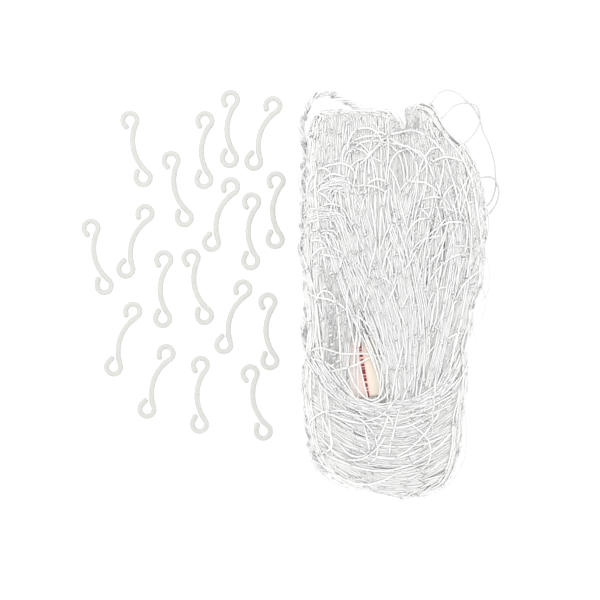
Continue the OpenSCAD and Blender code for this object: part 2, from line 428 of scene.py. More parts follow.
def wrap_turns(hank, rng, count):
    """Turns of the net's end round the foot of both folds, each once round the hank."""
    lines = []
    for i in range(count):
        q = (i + rng.uniform()) / count
        q = min(1.0, max(0.0, q + rng.normal(0, 0.03)))
        outer = np.interp(q, [0, 1], [-60, hank.foot + 36]) + rng.normal(0, 6)
        other = np.interp(q, [0, 1], [-60, hank.foot + 30]) + rng.normal(0, 6)
        centre = np.interp(q, [0, 1], [hank.mouth - 9, hank.foot + 2.5]) + abs(rng.normal(0, 2.5))
        under = np.interp(q, [0, 1], [hank.mouth + 10, hank.foot + 6]) + rng.normal(0, 6)
        depth = rng.uniform(0, 0.2) if i % 3 else 0.0
        sway, lift = wander(rng, 3.4), wander(rng, 0.04)
        points = []
        for k in range(14):
            turn = math.pi * (1 - k / 13)
            reach = math.copysign(abs(math.cos(turn)) ** 0.8, math.cos(turn))
            side_y = outer if reach < 0 else other
            y = centre + (side_y - centre) * abs(reach) ** 2.1 + float(sway(k / 13))
            y = max(y, hank.foot + 1.5)
            x, low, high = hank.across(reach, y, 1 - 0.12 * depth)
            z = low + (high - low) * (0.42 + 0.58 * math.sin(turn) ** 0.55 * (1 - depth + float(lift(k / 13))))
            points.append((x, y, z))
        for k in range(1, 9):
            turn = math.pi * k / 9
            reach = math.cos(turn)
            side_y = outer if reach < 0 else other
            y = max(under + (side_y - under) * abs(reach) ** 2.5, hank.foot + 1.5)
            x, low, high = hank.across(reach, y)
            z = low + (high - low) * (0.42 - 0.42 * math.sin(turn) ** 0.55 * (1 - depth))
            points.append((x, y, z))
        start = 14 + int(rng.integers(1, 6))
        points = points[start:] + points[:start]
        lines.append(smooth_line(points, SPACING))
    return lines


# Runs that stand out on the face of the hank, in millimetres: x, y and how far under the face they start
FACE_RUNS = [
    # Long arcs from the left fold over to the right one
    [(62, 112, 1), (72, 118, 0), (84, 134, 0), (95, 142, 0), (110, 146, 0), (119, 145, 0), (133, 136, 0),
     (142, 125, 0), (148, 105, 0), (153, 87, 0), (156, 60, 0), (157, 30, 1)],
    [(88, 128, 1), (93, 133, 0), (104, 133, 0), (115, 128, 0), (124, 121, 0), (133, 103, 0), (140, 82, 0),
     (147, 65, 0), (150, 38, 0), (149, 10, 1)],
    # A small arch under the left fold's top
    [(56, 100, 3), (56, 132, 0), (61, 145, 0), (71, 149, 0), (82, 145, 0), (87, 134, 0), (86, 118, 2)],
    # A ring in the left fold
    [(22, 70, 1), (21, 95, 0), (27, 108, 0), (38, 114, 0), (50, 116, 0), (59, 112, 0), (65, 103, 0),
     (66, 91, 0), (60, 80, 1)],
    # A run straight down from the knot
    [(86, 134, 0), (86, 112, 0), (87, 88, 0), (93, 58, 0), (101, 36, 0), (110, 13, 0), (114, -12, 0),
     (112, -48, 0), (108, -84, 1)],
    # Small loops by the middle
    [(90, 60, 1), (88, 78, 0), (90, 92, 0), (96, 94, 0), (100, 84, 0), (98, 66, 1)],
    [(97, 60, 2), (100, 86, 0), (107, 98, 0), (118, 100, 0), (130, 96, 0), (139, 86, 0), (145, 66, 0),
     (150, 42, 1)],
    [(104, 30, 1), (106, 44, 0), (110, 58, 0), (118, 66, 0), (128, 68, 0), (137, 65, 0), (142, 56, 1)],
    [(112, 6, 1), (110, 30, 0), (116, 44, 0), (126, 50, 0), (138, 52, 0), (150, 50, 1)],
    # Arcs from the left edge down to the label
    [(19, 10, 1), (28, 38, 0), (40, 42, 0), (54, 36, 0), (66, 24, 0), (74, 8, 0), (78, -16, 1)],
    [(19, 8, 1), (26, -2, 0), (40, -4, 0), (54, -12, 0), (64, -24, 0), (68, -38, 0), (66, -46, 0)],
    [(52, -16, 1), (62, -18, 0), (72, -24, 0), (80, -34, 0), (83, -52, 0), (82, -70, 1)],
    [(24, -50, 1), (34, -47, 0), (48, -52, 0), (64, -53, 0), (78, -52, 0), (90, -55, 1)],
    [(22, -64, 1), (36, -68, 0), (52, -66, 0), (68, -60, 0), (80, -53, 0), (92, -56, 0), (104, -60, 1)],
    [(40, -56, 1), (44, -66, 0), (54, -82, 0), (66, -96, 0), (76, -97, 0), (88, -92, 0), (96, -80, 1)],
    [(58, -42, 1), (56, -62, 0), (62, -80, 0), (74, -94, 0), (84, -92, 0), (88, -76, 0), (86, -60, 1)],
    # Rings on the wrapped end
    [(22, -122, 1), (27, -108, 0), (40, -102, 0), (56, -104, 0), (70, -112, 0), (80, -124, 0),
     (83, -136, 0), (80, -146, 0), (70, -150, 1)],
    [(74, -104, 1), (86, -104, 0), (94, -108, 0), (96, -116, 0), (92, -124, 1)],
    [(34, -104, 1), (38, -120, 0), (44, -130, 0), (40, -138, 0), (28, -140, 1)],
    [(98, -108, 1), (112, -114, 0), (124, -124, 0), (130, -138, 0), (126, -152, 0), (112, -160, 1)],
    [(140, -96, 1), (132, -112, 0), (118, -130, 0), (102, -142, 0), (84, -148, 1)],
    # Right fold, down its side
    [(126, 166, 1), (136, 150, 0), (148, 134, 0), (160, 116, 0), (168, 92, 0), (172, 60, 0), (174, 26, 1)],
    [(150, 112, 1), (158, 96, 0), (164, 70, 0), (165, 40, 0), (160, 8, 0), (152, -26, 1)],
    [(164, -26, 1), (160, -52, 0), (150, -74, 0), (140, -86, 0), (128, -93, 0), (116, -97, 1)],
]

# Sheaves of runs on the face: the line they follow, how many there are, and how wide they spread
FACE_SHEAVES = [
    ([(30, 84, 1), (34, 96, 0), (44, 99, 0), (56, 92, 0), (62, 76, 0), (69, 52, 0), (77, 26, 0), (88, -8, 0),
      (97, -46, 0), (102, -90, 1)], 13, 5.0),
    ([(24, 66, 1), (32, 74, 0), (46, 72, 0), (56, 56, 0), (64, 30, 0), (74, 6, 0), (86, -24, 0), (96, -60, 0),
      (100, -92, 1)], 10, 6.0),
    ([(26, 40, 1), (34, 54, 0), (44, 50, 0), (50, 30, 0), (58, 8, 0), (66, -14, 0), (78, -38, 0), (88, -64, 0),
      (94, -90, 1)], 6, 5.0),
    ([(118, 120, 1), (112, 96, 0), (104, 70, 0), (102, 40, 0), (106, 8, 0), (112, -30, 0), (112, -66, 0),
      (110, -94, 1)], 8, 5.0),
    ([(132, 108, 1), (140, 80, 0), (146, 40, 0), (142, 4, 0), (134, -36, 0), (126, -70, 0), (120, -94, 1)], 8, 7.0),
    ([(100, 118, 1), (96, 90, 0), (102, 60, 0), (112, 28, 0), (120, -8, 0), (122, -46, 0), (116, -92, 1)], 6, 6.0),
    # The drawn lip of the wrapped end
    ([(20, -46, 1), (30, -62, 0), (42, -80, 0), (58, -95, 0), (80, -101, 0), (102, -98, 0), (122, -94, 0),
      (138, -84, 0), (150, -66, 0), (158, -48, 1)], 9, 3.6),
    ([(92, -94, 1), (102, -97, 0), (118, -95, 0), (132, -90, 0), (144, -78, 0), (152, -60, 1)], 6, 2.6),
]

# Slack runs that stand out past the hank's sides, in millimetres
SLACK_RUNS = [
    [(108, 158, 13), (107, 168, 10), (109, 174, 8), (112, 171, 9), (113, 160, 13)],
    [(112, 160, 14), (112, 171, 11), (115, 178, 8), (119, 176, 8), (120, 168, 10), (119, 158, 13)],
    [(119, 160, 14), (121, 170, 10), (124, 174, 9), (127, 171, 10), (127, 160, 14)],
    [(125, 158, 15), (127, 170, 11), (130, 175, 9), (133, 172, 10), (133, 160, 13)],
    [(84, 150, 16), (88, 166, 10), (95, 168, 7), (102, 163, 6), (107, 152, 8)],
    [(22, 118, 12), (15, 108, 8), (14, 98, 6), (19, 88, 10)],
    [(22, 92, 12), (15, 82, 8), (15, 70, 6), (20, 60, 11)],
    [(20, 62, 13), (14, 52, 8), (13, 42, 6), (18, 30, 11)],
    [(21, -20, 13), (16, -30, 8), (15, -42, 6), (20, -54, 12)],
    [(20, -88, 12), (17, -100, 8), (19, -114, 6), (25, -126, 11)],
    [(26, -126, 12), (24, -140, 6), (30, -156, 5), (42, -168, 5), (58, -174, 11)],
    [(176, 44, 16), (182, 34, 10), (185, 14, 5), (182, -2, 7), (176, -6, 13)],
    [(174, 10, 16), (180, 2, 9), (181, -12, 5), (175, -26, 8), (168, -30, 15)],
    [(168, -30, 17), (173, -42, 10), (176, -56, 6), (172, -70, 7), (165, -80, 14)],
    [(160, -96, 16), (163, -116, 9), (164, -138, 5), (158, -158, 4), (146, -173, 4), (130, -180, 6),
     (114, -178, 13)],
    [(156, -104, 18), (159, -130, 10), (155, -150, 6), (144, -164, 5), (128, -174, 6), (112, -174, 14)],
    [(178, 84, 17), (183, 74, 10), (184, 60, 6), (180, 46, 12)],
    [(22, 22, 14), (17, 14, 8), (16, 4, 6), (21, -6, 11)],
    [(21, -66, 15), (16, -74, 9), (15, -84, 7), (20, -92, 12)],
    [(24, -142, 12), (25, -152, 6), (32, -163, 4), (44, -172, 5), (58, -177, 10)],
    [(24, 128, 14), (21, 146, 9), (26, 160, 6), (38, 167, 6), (48, 164, 10)],
    [(30, 120, 16), (27, 142, 10), (33, 157, 7), (44, 163, 8), (56, 160, 13)],
    [(96, 140, 14), (100, 152, 9), (96, 162, 6), (86, 167, 7), (74, 165, 11)],
]

def face_line(hank, points, shift=(0.0, 0.0)):
    """A run over the face of the hank through points given as x, y and how far under the face."""
    out = []
    for x, y, under in points:
        x, y = x + shift[0], y + shift[1]
        out.append((x, y, hank.heights_at(x, y)[1] + 1.0 - 6.0 * under))
    return smooth_line(out, SPACING)


def face_runs(hank, rng):
    """The runs that stand out on the face, and the sheaves, whose runs each lie a little off their line."""
    lines = [face_line(hank, points) for points in FACE_RUNS]
    for points, count, spread in FACE_SHEAVES:
        for _ in range(count):
            shift = rng.normal(0, spread, 2) * (1, 0.5)
            fan = rng.uniform(0.6, 1.5)
            middle = np.mean(points, axis=0)
            moved = [(middle[0] + (x - middle[0]) * (1 + 0.05 * (fan - 1)), y + rng.normal(0, 1.5), under)
                     for x, y, under in points]
            lines.append(face_line(hank, moved, shift))
    return lines


def side_runs(hank, rng, count):
    """Runs that follow the hank's sides and its ends, one over another from the floor up."""
    ring = smooth_line(np.vstack([hank.outline, hank.outline[:1]]), 2.0)[:-1]
    lines = []
    for i in range(count):
        start, length = rng.uniform(0, len(ring)), rng.uniform(50, 150)
        spots = (start + np.arange(0, length, 4.0)).astype(int) % len(ring)
        u = np.linspace(0, 1, len(spots))
        level = (i + rng.uniform()) / count
        drift, sway = wander(rng, 0.14), wander(rng, 1.2)
        offset = 1.3 + np.abs(sway(u)) + rng.uniform(0, 1.5 + 5.5 * level)
        slope = hank.look_up(hank.slope, ring[spots, 0], ring[spots, 1])
        place = ring[spots] + slope * offset[:, None]
        low, high = hank.heights(place[:, 0], place[:, 1])
        part = np.clip(level + drift(u), 0.02, 0.98)
        lines.append(smooth_line(np.column_stack([place, low + (high - low) * part]), SPACING))
    return lines


# Chances of the kinds of stray loop, added up; the rest are slack runs
HAIRPINS, ARCS, RINGS = 0.4, 0.62, 0.7


def stray_loops(hank, rng, count):
    """Loops of the net's meshes that lie over the others: hairpins, arcs from the sides and rings."""
    lines = []
    low, high = label_box()
    while len(lines) < count:
        kind = rng.uniform()
        if len(lines) % 5 == 0:
            # An arc round the wrapped end, hanging from two places on its sides
            x, y = rng.uniform(hank.left + 42, hank.right - 50), rng.uniform(hank.foot + 6, hank.mouth - 8)
            wide, sag, tilt = rng.uniform(26, 66), rng.uniform(10, 42), rng.normal(0, 7)
            points = [(x + wide * u, y + sag * abs(u) ** rng.uniform(1.9, 2.1) + tilt * u, 0.9 * (abs(u) > 0.95))
                      for u in np.linspace(-1, 1, 9)]
        elif kind < HAIRPINS:
            # A hairpin: two legs that hang from a round top and lean to the mouth
            x, top = rng.uniform(hank.left + 12, hank.right - 20), rng.uniform(0, 148)
            half, drop = rng.uniform(9, 32), rng.uniform(110, 210)
            bow = rng.normal(0, 4)
            lean = (84 + rng.normal(0, 26) - x) * min(1.0, drop / (top + 110)) * rng.uniform(0.3, 1.0)
            points = []
            for k in range(13):
                u = k / 12 * 2 - 1
                down = abs(u) ** 1.9
                spread = math.copysign(min(1.0, abs(u) * 2.4) ** 0.6, u) * half * (1 - 0.55 * down)
                across = spread + lean * down + bow * math.sin(3 * u)
                points.append((x + across, top - drop * down, 0.7 * abs(u) ** 6))
        elif kind < ARCS:
            # An arc that starts under one side and runs in and down
            right = rng.uniform() < 0.5
            y = rng.uniform(-80, 120)
            x = hank.side(y, right) + (-3 if right else 3)
            reach, fall, rise = rng.uniform(45, 105), rng.uniform(60, 160), rng.uniform(-4, 20)
            sign = -1 if right else 1
            points = [(x + sign * reach * math.sin(u * 1.35) / math.sin(1.35),
                       y + rise * math.sin(math.pi * min(1, u * 1.6)) - fall * u * u,
                       0.8 * (u < 0.02) + 0.7 * (u > 0.97)) for u in np.linspace(0, 1, 9)]
        elif kind < RINGS:
            # A ring or part of one
            x, y = rng.uniform(hank.left + 14, hank.right - 18), rng.uniform(hank.mouth + 20, 120)
            wide, tall = rng.uniform(7, 22), rng.uniform(8, 26)
            start, turn = rng.uniform(0, 2 * math.pi), rng.uniform(2.6, 5.4)
            points = [(x + wide * math.cos(start + turn * u), y + tall * math.sin(start + turn * u) - 6 * u,
                       0.9 * (abs(u - 0.5) > 0.49)) for u in np.linspace(0, 1, 12)]
        else:
            # A long slack run down the fold
            x, y = rng.uniform(hank.left + 6, hank.right - 12), rng.uniform(40, 140)
            sway, far = wander(rng, 7), rng.uniform(90, 200)
            points = [(x + float(sway(u)) + (84 + 0.2 * (x - 84) - x) * u * 0.5 * far / 150, y - far * u,
                       0.8 * (abs(u - 0.5) > 0.48)) for u in np.linspace(0, 1, 9)]
        spots = np.array(points)
        inward = hank.look_up(hank.depth, spots[:, 0], spots[:, 1])
        if inward.min() < -6 or inward.mean() < 4:
            continue
        over = ((spots[:, 0] > low[0]) & (spots[:, 0] < high[0] - 4) & (spots[:, 1] > low[1])
                & (spots[:, 1] < high[1])).sum()
        if over > 1 and rng.uniform() < 0.8:
            continue
        lines.append(face_line(hank, points))
    return lines


def near_pairs(p, reach):
    """Index pairs of the points that lie within reach of each other."""
    cell = np.floor((p - p.min(axis=0)) / reach).astype(np.int64) + 1
    deep = cell[:, 2].max() + 2
    row = (cell[:, 1].max() + 2) * deep
    key = cell[:, 0] * row + cell[:, 1] * deep + cell[:, 2]
    order = np.argsort(key, kind="stable")
    key = key[order]
    first, second = [], []
    for ahead in (0, deep, row - deep, row, row + deep):
        low = np.searchsorted(key, key + ahead - (1 if ahead else 0), "left")
        high = np.searchsorted(key, key + ahead + 1, "right")
        count = np.maximum(high - low, 0)
        i = np.repeat(np.arange(len(key)), count)
        j = np.arange(len(i)) - np.repeat(np.cumsum(count) - count, count) + np.repeat(low, count)
        if not ahead:
            later = j > i
            i, j = i[later], j[later]
        i, j = order[i], order[j]
        close = ((p[i] - p[j]) ** 2).sum(axis=1) < reach * reach
        first.append(i[close])
        second.append(j[close])
    return np.concatenate(first), np.concatenate(second)


# How the runs settle: the distance they keep as a part of the twine's width, how far off a neighbour is looked for and
# every how many rounds, how strongly a bend opens and a stretch closes, and how far a run sinks in each round
KEPT_APART, LOOK_FURTHER, LOOK_EVERY, UNBEND, UNSTRETCH, SINK = 1.05, 0.7, 4, 0.22, 0.25, 0.02


def settle(hank, lines, twine, proud, loose, rounds):
    """Moves crossing runs apart until they lie on each other, inside the hank's shape."""
    p = np.vstack(lines)
    sizes = np.array([len(line) for line in lines])
    run = np.repeat(np.arange(len(lines)), sizes)
    proud, loose = np.repeat(proud, sizes), np.repeat(loose, sizes)
    joined = run[1:] == run[:-1]
    inner = np.zeros(len(p), bool)
    inner[1:-1] = joined[1:] & joined[:-1]
    rest = np.linalg.norm(np.diff(p, axis=0), axis=1)
    apart = twine * KEPT_APART
    low, high = label_box()
    for turn in range(rounds):
        if turn % LOOK_EVERY == 0:
            i, j = near_pairs(p, apart + LOOK_FURTHER)
            fresh = (run[i] != run[j]) | (np.abs(i - j) > 3)
            i, j = i[fresh], j[fresh]
        between = p[i] - p[j]
        gap = np.sqrt((between**2).sum(axis=1)) + 1e-6
        touch = gap < apart
        a, b, push = i[touch], j[touch], between[touch] * ((apart - gap[touch]) / gap[touch] * 0.5)[:, None]
        hits = np.bincount(a, minlength=len(p)) + np.bincount(b, minlength=len(p))
        share = 1.0 / np.maximum(hits, 1) ** 0.6
        for k in range(3):
            moved = np.bincount(a, push[:, k], len(p)) - np.bincount(b, push[:, k], len(p))
            p[:, k] += moved * share
        bend = np.zeros_like(p)
        bend[1:-1] = (p[:-2] + p[2:]) / 2 - p[1:-1]
        p += bend * inner[:, None] * UNBEND
        step = np.diff(p, axis=0)
        size = np.sqrt((step**2).sum(axis=1)) + 1e-9
        fix = step * ((size - rest) / size * UNSTRETCH * joined)[:, None]
        p[:-1] += fix
        p[1:] -= fix
        p[:, 2] -= SINK
        held = ~loose
        some = p[held]
        hank.keep_in(some, twine / 2, proud[held])
        p[held] = some
        p[:, 2] = np.maximum(p[:, 2], twine / 2)
        over = ((p[:, 0] > low[0] + 7) & (p[:, 0] < high[0] - 6) & (p[:, 1] > low[1] + 3) & (p[:, 1] < high[1] - 5)
                & (proud < 0.5))
        p[over, 2] = np.minimum(p[over, 2], low[2] - twine / 2 - 0.2)
    return np.split(p, np.cumsum(sizes)[:-1])


# ---------------------------------------------------------------- meshes and nodes

def new_object(name, mesh):
    """An object with that mesh, in the scene."""
    obj = bpy.data.objects.new(name, mesh)
    bpy.context.scene.collection.objects.link(obj)
    return obj


def polyline_mesh(name, lines, shade_depth=None):
    """One mesh of loose edges along the lines, given in millimetres, with how far each point lies down when that is
    given, for the twine's painted shade.
    """
    points = np.vstack(lines) * MM
    edges = []
    start = 0
    for line in lines:
        ids = np.arange(start, start + len(line))
        edges.append(np.column_stack([ids[:-1], ids[1:]]))
        start += len(line)
    edges = np.vstack(edges)
    mesh = bpy.data.meshes.new(name)
    mesh.vertices.add(len(points))
    mesh.vertices.foreach_set("co", points.ravel())
    mesh.edges.add(len(edges))
    mesh.edges.foreach_set("vertices", edges.ravel().astype(np.int32))
    if shade_depth is not None:
        mesh.attributes.new("shade_depth", "FLOAT", "POINT").data.foreach_set("value", np.concatenate(shade_depth))
    mesh.update()
    return mesh


def add_node(tree, kind, inputs=None, **settings):
    """A node with its settings and inputs; an input that is given a socket is linked to it."""
    made = tree.nodes.new(kind)
    for key, value in settings.items():
        setattr(made, key, value)
    for key, value in (inputs or {}).items():
        if isinstance(value, bpy.types.NodeSocket):
            tree.links.new(value, made.inputs[key])
        else:
            made.inputs[key].default_value = value
    return made


def new_tree(name, inputs):
    """An empty Geometry Nodes tree with a geometry input and the named inputs."""
    tree = bpy.data.node_groups.new(name, "GeometryNodeTree")
    tree.interface.new_socket("Geometry", in_out="INPUT", socket_type="NodeSocketGeometry")
    for label, kind in inputs:
        tree.interface.new_socket(label, in_out="INPUT", socket_type=kind)
    tree.interface.new_socket("Geometry", in_out="OUTPUT", socket_type="NodeSocketGeometry")
    return tree, tree.nodes.new("NodeGroupInput"), tree.nodes.new("NodeGroupOutput")


def capture(tree, geometry, value, kind, domain="POINT"):
    """Keeps a field's value on the geometry, and gives back both sockets."""
    node = tree.nodes.new("GeometryNodeCaptureAttribute")
    node.domain = domain
    node.capture_items.new(kind, "Value")
    tree.links.new(geometry, node.inputs["Geometry"])
    tree.links.new(value, node.inputs["Value"])
    return node.outputs["Geometry"], node.outputs["Value"]


def store(tree, geometry, name, value, kind):
    """Writes a field's value to a named attribute, for the material."""
    return add_node(tree, "GeometryNodeStoreNamedAttribute", {"Geometry": geometry, "Name": name, "Value": value},
                    data_type=kind, domain="POINT").outputs["Geometry"]


def twine_tree():
    """Turns loose edges into round twine that carries its length and its way round for the material."""
    made = bpy.data.node_groups.get("Twine along lines")
    if made:
        return made
    tree, given, out = new_tree("Twine along lines", [
        ("Diameter", "NodeSocketFloat"), ("Sides", "NodeSocketInt"), ("Material", "NodeSocketMaterial")])
    to_curve = add_node(tree, "GeometryNodeMeshToCurve", {"Mesh": given.outputs["Geometry"]})
    along = add_node(tree, "GeometryNodeSplineParameter")
    curve, length = capture(tree, to_curve.outputs["Curve"], along.outputs["Length"], "FLOAT")
    half = add_node(tree, "ShaderNodeMath", {0: given.outputs["Diameter"], 1: 0.5}, operation="MULTIPLY")
    circle = add_node(tree, "GeometryNodeCurvePrimitiveCircle",
                      {"Resolution": given.outputs["Sides"], "Radius": half.outputs[0]})
    place = add_node(tree, "GeometryNodeInputPosition")
    profile, way_round = capture(tree, circle.outputs["Curve"], place.outputs["Position"], "VECTOR")
    sweep = add_node(tree, "GeometryNodeCurveToMesh", {"Curve": curve, "Profile Curve": profile, "Fill Caps": True})
    mesh = store(tree, sweep.outputs["Mesh"], "along", length, "FLOAT")
    mesh = store(tree, mesh, "way_round", way_round, "FLOAT_VECTOR")
    smooth = add_node(tree, "GeometryNodeSetShadeSmooth", {"Geometry": mesh})
    finish_tree(tree, given, out, smooth.outputs["Geometry"])
    return tree


def clip_tree():
    """Sweeps a clip's rounded bar along its centre line, with its parting line and gate mark, and lays it down."""
    tree, given, out = new_tree("Moulded clip", [
        ("Bar Width", "NodeSocketFloat"), ("Bar Height", "NodeSocketFloat"), ("Edge", "NodeSocketFloat"),
        ("Parting Line", "NodeSocketFloat"), ("Gate", "NodeSocketFloat"), ("Gate Place", "NodeSocketVector"),
        ("Place", "NodeSocketVector"), ("Turn", "NodeSocketVector"), ("Material", "NodeSocketMaterial")])

    def number(operation, a, b):
        return add_node(tree, "ShaderNodeMath", {0: a, 1: b}, operation=operation).outputs[0]

    line = add_node(tree, "GeometryNodeMeshToCurve", {"Mesh": given.outputs["Geometry"]})
    flat = add_node(tree, "GeometryNodeSetCurveNormal", {"Curve": line.outputs["Curve"]}, mode="Z_UP")
    stout = add_node(tree, "GeometryNodeInputNamedAttribute", {"Name": "stout"}, data_type="FLOAT")
    sized = add_node(tree, "GeometryNodeSetCurveRadius",
                     {"Curve": flat.outputs["Curve"], "Radius": stout.outputs["Attribute"]})
    join = add_node(tree, "GeometryNodeJoinGeometry")

    def sweep(width, height, edge):
        quad = add_node(tree, "GeometryNodeCurvePrimitiveQuadrilateral", {"Width": width, "Height": height})
        profile = quad.outputs["Curve"]
        if edge is not None:
            profile = add_node(tree, "GeometryNodeFilletCurve", {"Curve": profile, "Radius": edge, "Count": 4},
                               mode="POLY").outputs["Curve"]
        bar = add_node(tree, "GeometryNodeCurveToMesh", {
            "Curve": sized.outputs["Curve"], "Profile Curve": profile, "Scale": stout.outputs["Attribute"],
            "Fill Caps": True})
        tree.links.new(bar.outputs["Mesh"], join.inputs["Geometry"])

    bar_width, bar_height = given.outputs["Bar Width"], given.outputs["Bar Height"]
    sweep(bar_width, bar_height, given.outputs["Edge"])
    flash = given.outputs["Parting Line"]
    sweep(number("ADD", bar_width, flash), flash, None)
    gate_width = given.outputs["Gate"]
    gate = add_node(tree, "GeometryNodeMeshCylinder", {
        "Vertices": 16, "Radius": number("MULTIPLY", gate_width, 0.5),
        "Depth": number("ADD", bar_width, number("MULTIPLY", gate_width, 0.6))})
    set_gate = add_node(tree, "GeometryNodeTransform", {
        "Geometry": gate.outputs["Mesh"], "Translation": given.outputs["Gate Place"],
        "Rotation": (0, math.pi / 2, 0)})
    tree.links.new(set_gate.outputs["Geometry"], join.inputs["Geometry"])
    smooth = add_node(tree, "GeometryNodeSetShadeSmooth", {"Geometry": join.outputs["Geometry"]})
    lay = add_node(tree, "GeometryNodeTransform", {
        "Geometry": smooth.outputs["Geometry"], "Translation": given.outputs["Place"],
        "Rotation": given.outputs["Turn"]})
    finish_tree(tree, given, out, lay.outputs["Geometry"])
    return tree


def knot_tree():
    """Ties a knot at each point, turned to the way of the twine there and spun about it."""
    tree, given, out = new_tree("Knots on points", [
        ("Knot", "NodeSocketObject"), ("Smallest", "NodeSocketFloat"), ("Largest", "NodeSocketFloat"),
        ("Seed", "NodeSocketInt"), ("Material", "NodeSocketMaterial")])
    seed = given.outputs["Seed"]
    points = add_node(tree, "GeometryNodeMeshToPoints", {"Mesh": given.outputs["Geometry"]})
    knot = add_node(tree, "GeometryNodeObjectInfo", {"Object": given.outputs["Knot"]})
    way = add_node(tree, "GeometryNodeInputNamedAttribute", {"Name": "way"}, data_type="FLOAT_VECTOR")
    turned = add_node(tree, "FunctionNodeAlignRotationToVector", {"Vector": way.outputs["Attribute"]}, axis="Z")
    spin = add_node(tree, "FunctionNodeRandomValue", {"Max": 2 * math.pi, "Seed": seed})
    about = add_node(tree, "ShaderNodeCombineXYZ", {"Z": spin.outputs[1]})
    both = add_node(tree, "FunctionNodeRotateRotation", {
        "Rotation": turned.outputs["Rotation"], "Rotate By": about.outputs["Vector"]}, rotation_space="LOCAL")
    size = add_node(tree, "FunctionNodeRandomValue", {
        2: given.outputs["Smallest"], 3: given.outputs["Largest"], "Seed": seed})
    tie = add_node(tree, "GeometryNodeInstanceOnPoints", {
        "Points": points.outputs["Points"], "Instance": knot.outputs["Geometry"],
        "Rotation": both.outputs["Rotation"], "Scale": size.outputs[1]})
    real = add_node(tree, "GeometryNodeRealizeInstances", {"Geometry": tie.outputs["Instances"]})
    smooth = add_node(tree, "GeometryNodeSetShadeSmooth", {"Geometry": real.outputs["Geometry"]})
    finish_tree(tree, given, out, smooth.outputs["Geometry"])
    return tree


def finish_tree(tree, given, out, geometry):
    """Ends a tree: realizes its instances and gives them the material."""
    real = add_node(tree, "GeometryNodeRealizeInstances", {"Geometry": geometry})
    coat = add_node(tree, "GeometryNodeSetMaterial", {
        "Geometry": real.outputs["Geometry"], "Material": given.outputs["Material"]})
    tree.links.new(coat.outputs["Geometry"], out.inputs["Geometry"])


def grow(name, mesh, tree, values):
    """Runs a tree on a mesh, with its inputs set by their names, and gives back the plain result."""
    source = new_object(name + "_source", mesh)
    modifier = source.modifiers.new("Grow", "NODES")
    modifier.node_group = tree
    for item in tree.interface.items_tree:
        if item.item_type == "SOCKET" and item.in_out == "INPUT" and item.name in values:
            modifier[item.identifier] = values[item.name]
    seen = source.evaluated_get(bpy.context.evaluated_depsgraph_get())
    result = bpy.data.meshes.new_from_object(seen)
    source.modifiers.clear()
    bpy.data.objects.remove(source)
    result.name = name
    return new_object(name, result)


# ---------------------------------------------------------------- materials

class Paint:
    """A node material being built, from its Principled shader backwards."""

    def __init__(self, name, color, roughness, **sockets):
        self.material = bpy.data.materials.new(name)
        self.material.use_nodes = True
        self.tree = self.material.node_tree
        self.shader = self.tree.nodes["Principled BSDF"]
        self.shader.inputs["Base Color"].default_value = (*color, 1)
        self.shader.inputs["Roughness"].default_value = roughness
        for label, value in sockets.items():
            self.shader.inputs[label.replace("_", " ")].default_value = value

    def node(self, kind, **settings):
        made = self.tree.nodes.new(kind)
        for key, value in settings.items():
            setattr(made, key, value)
        return made

    def link(self, a, b):
        self.tree.links.new(a, b)

    def math(self, operation, a, b=None):
        made = self.node("ShaderNodeMath", operation=operation)
        for socket, value in zip(made.inputs, (a, b)):
            if value is None:
                continue
            if isinstance(value, (int, float)):
                socket.default_value = value
            else:
                self.link(value, socket)
        return made.outputs[0]

    def attribute(self, name):
        return self.node("ShaderNodeAttribute", attribute_name=name)

    def noise(self, scale, detail=3.0, roughness=0.5, vector=None):
        made = self.node("ShaderNodeTexNoise")
        made.inputs["Scale"].default_value = scale
        made.inputs["Detail"].default_value = detail
        made.inputs["Roughness"].default_value = roughness
        if vector is None:
            vector = self.node("ShaderNodeTexCoord").outputs["Object"]
        self.link(vector, made.inputs["Vector"])
        return made.outputs["Fac"]

    def ramp(self, value, stops):
        made = self.node("ShaderNodeValToRGB")
        ramp = made.color_ramp
        while len(ramp.elements) < len(stops):
            ramp.elements.new(0.5)
        for element, (place, color) in zip(ramp.elements, stops):
            element.position = place
            element.color = (*color, 1)
        self.link(value, made.inputs["Fac"])
        return made.outputs["Color"]

    def multiply(self, a, b):
        made = self.node("ShaderNodeMix", data_type="RGBA", blend_type="MULTIPLY")
        made.inputs["Factor"].default_value = 1.0
        self.link(a, made.inputs["A"])
        self.link(b, made.inputs["B"])
        return made.outputs["Result"]

    def bump(self, height, strength, distance, under=None):
        made = self.node("ShaderNodeBump")
        made.inputs["Strength"].default_value = strength
        made.inputs["Distance"].default_value = distance
        self.link(height, made.inputs["Height"])
        if under is not None:
            self.link(under, made.inputs["Normal"])
        return made.outputs["Normal"]


def shade(color, factor):
    """The colour made darker or lighter, at most white."""
    return tuple(min(1.0, c * factor) for c in color)


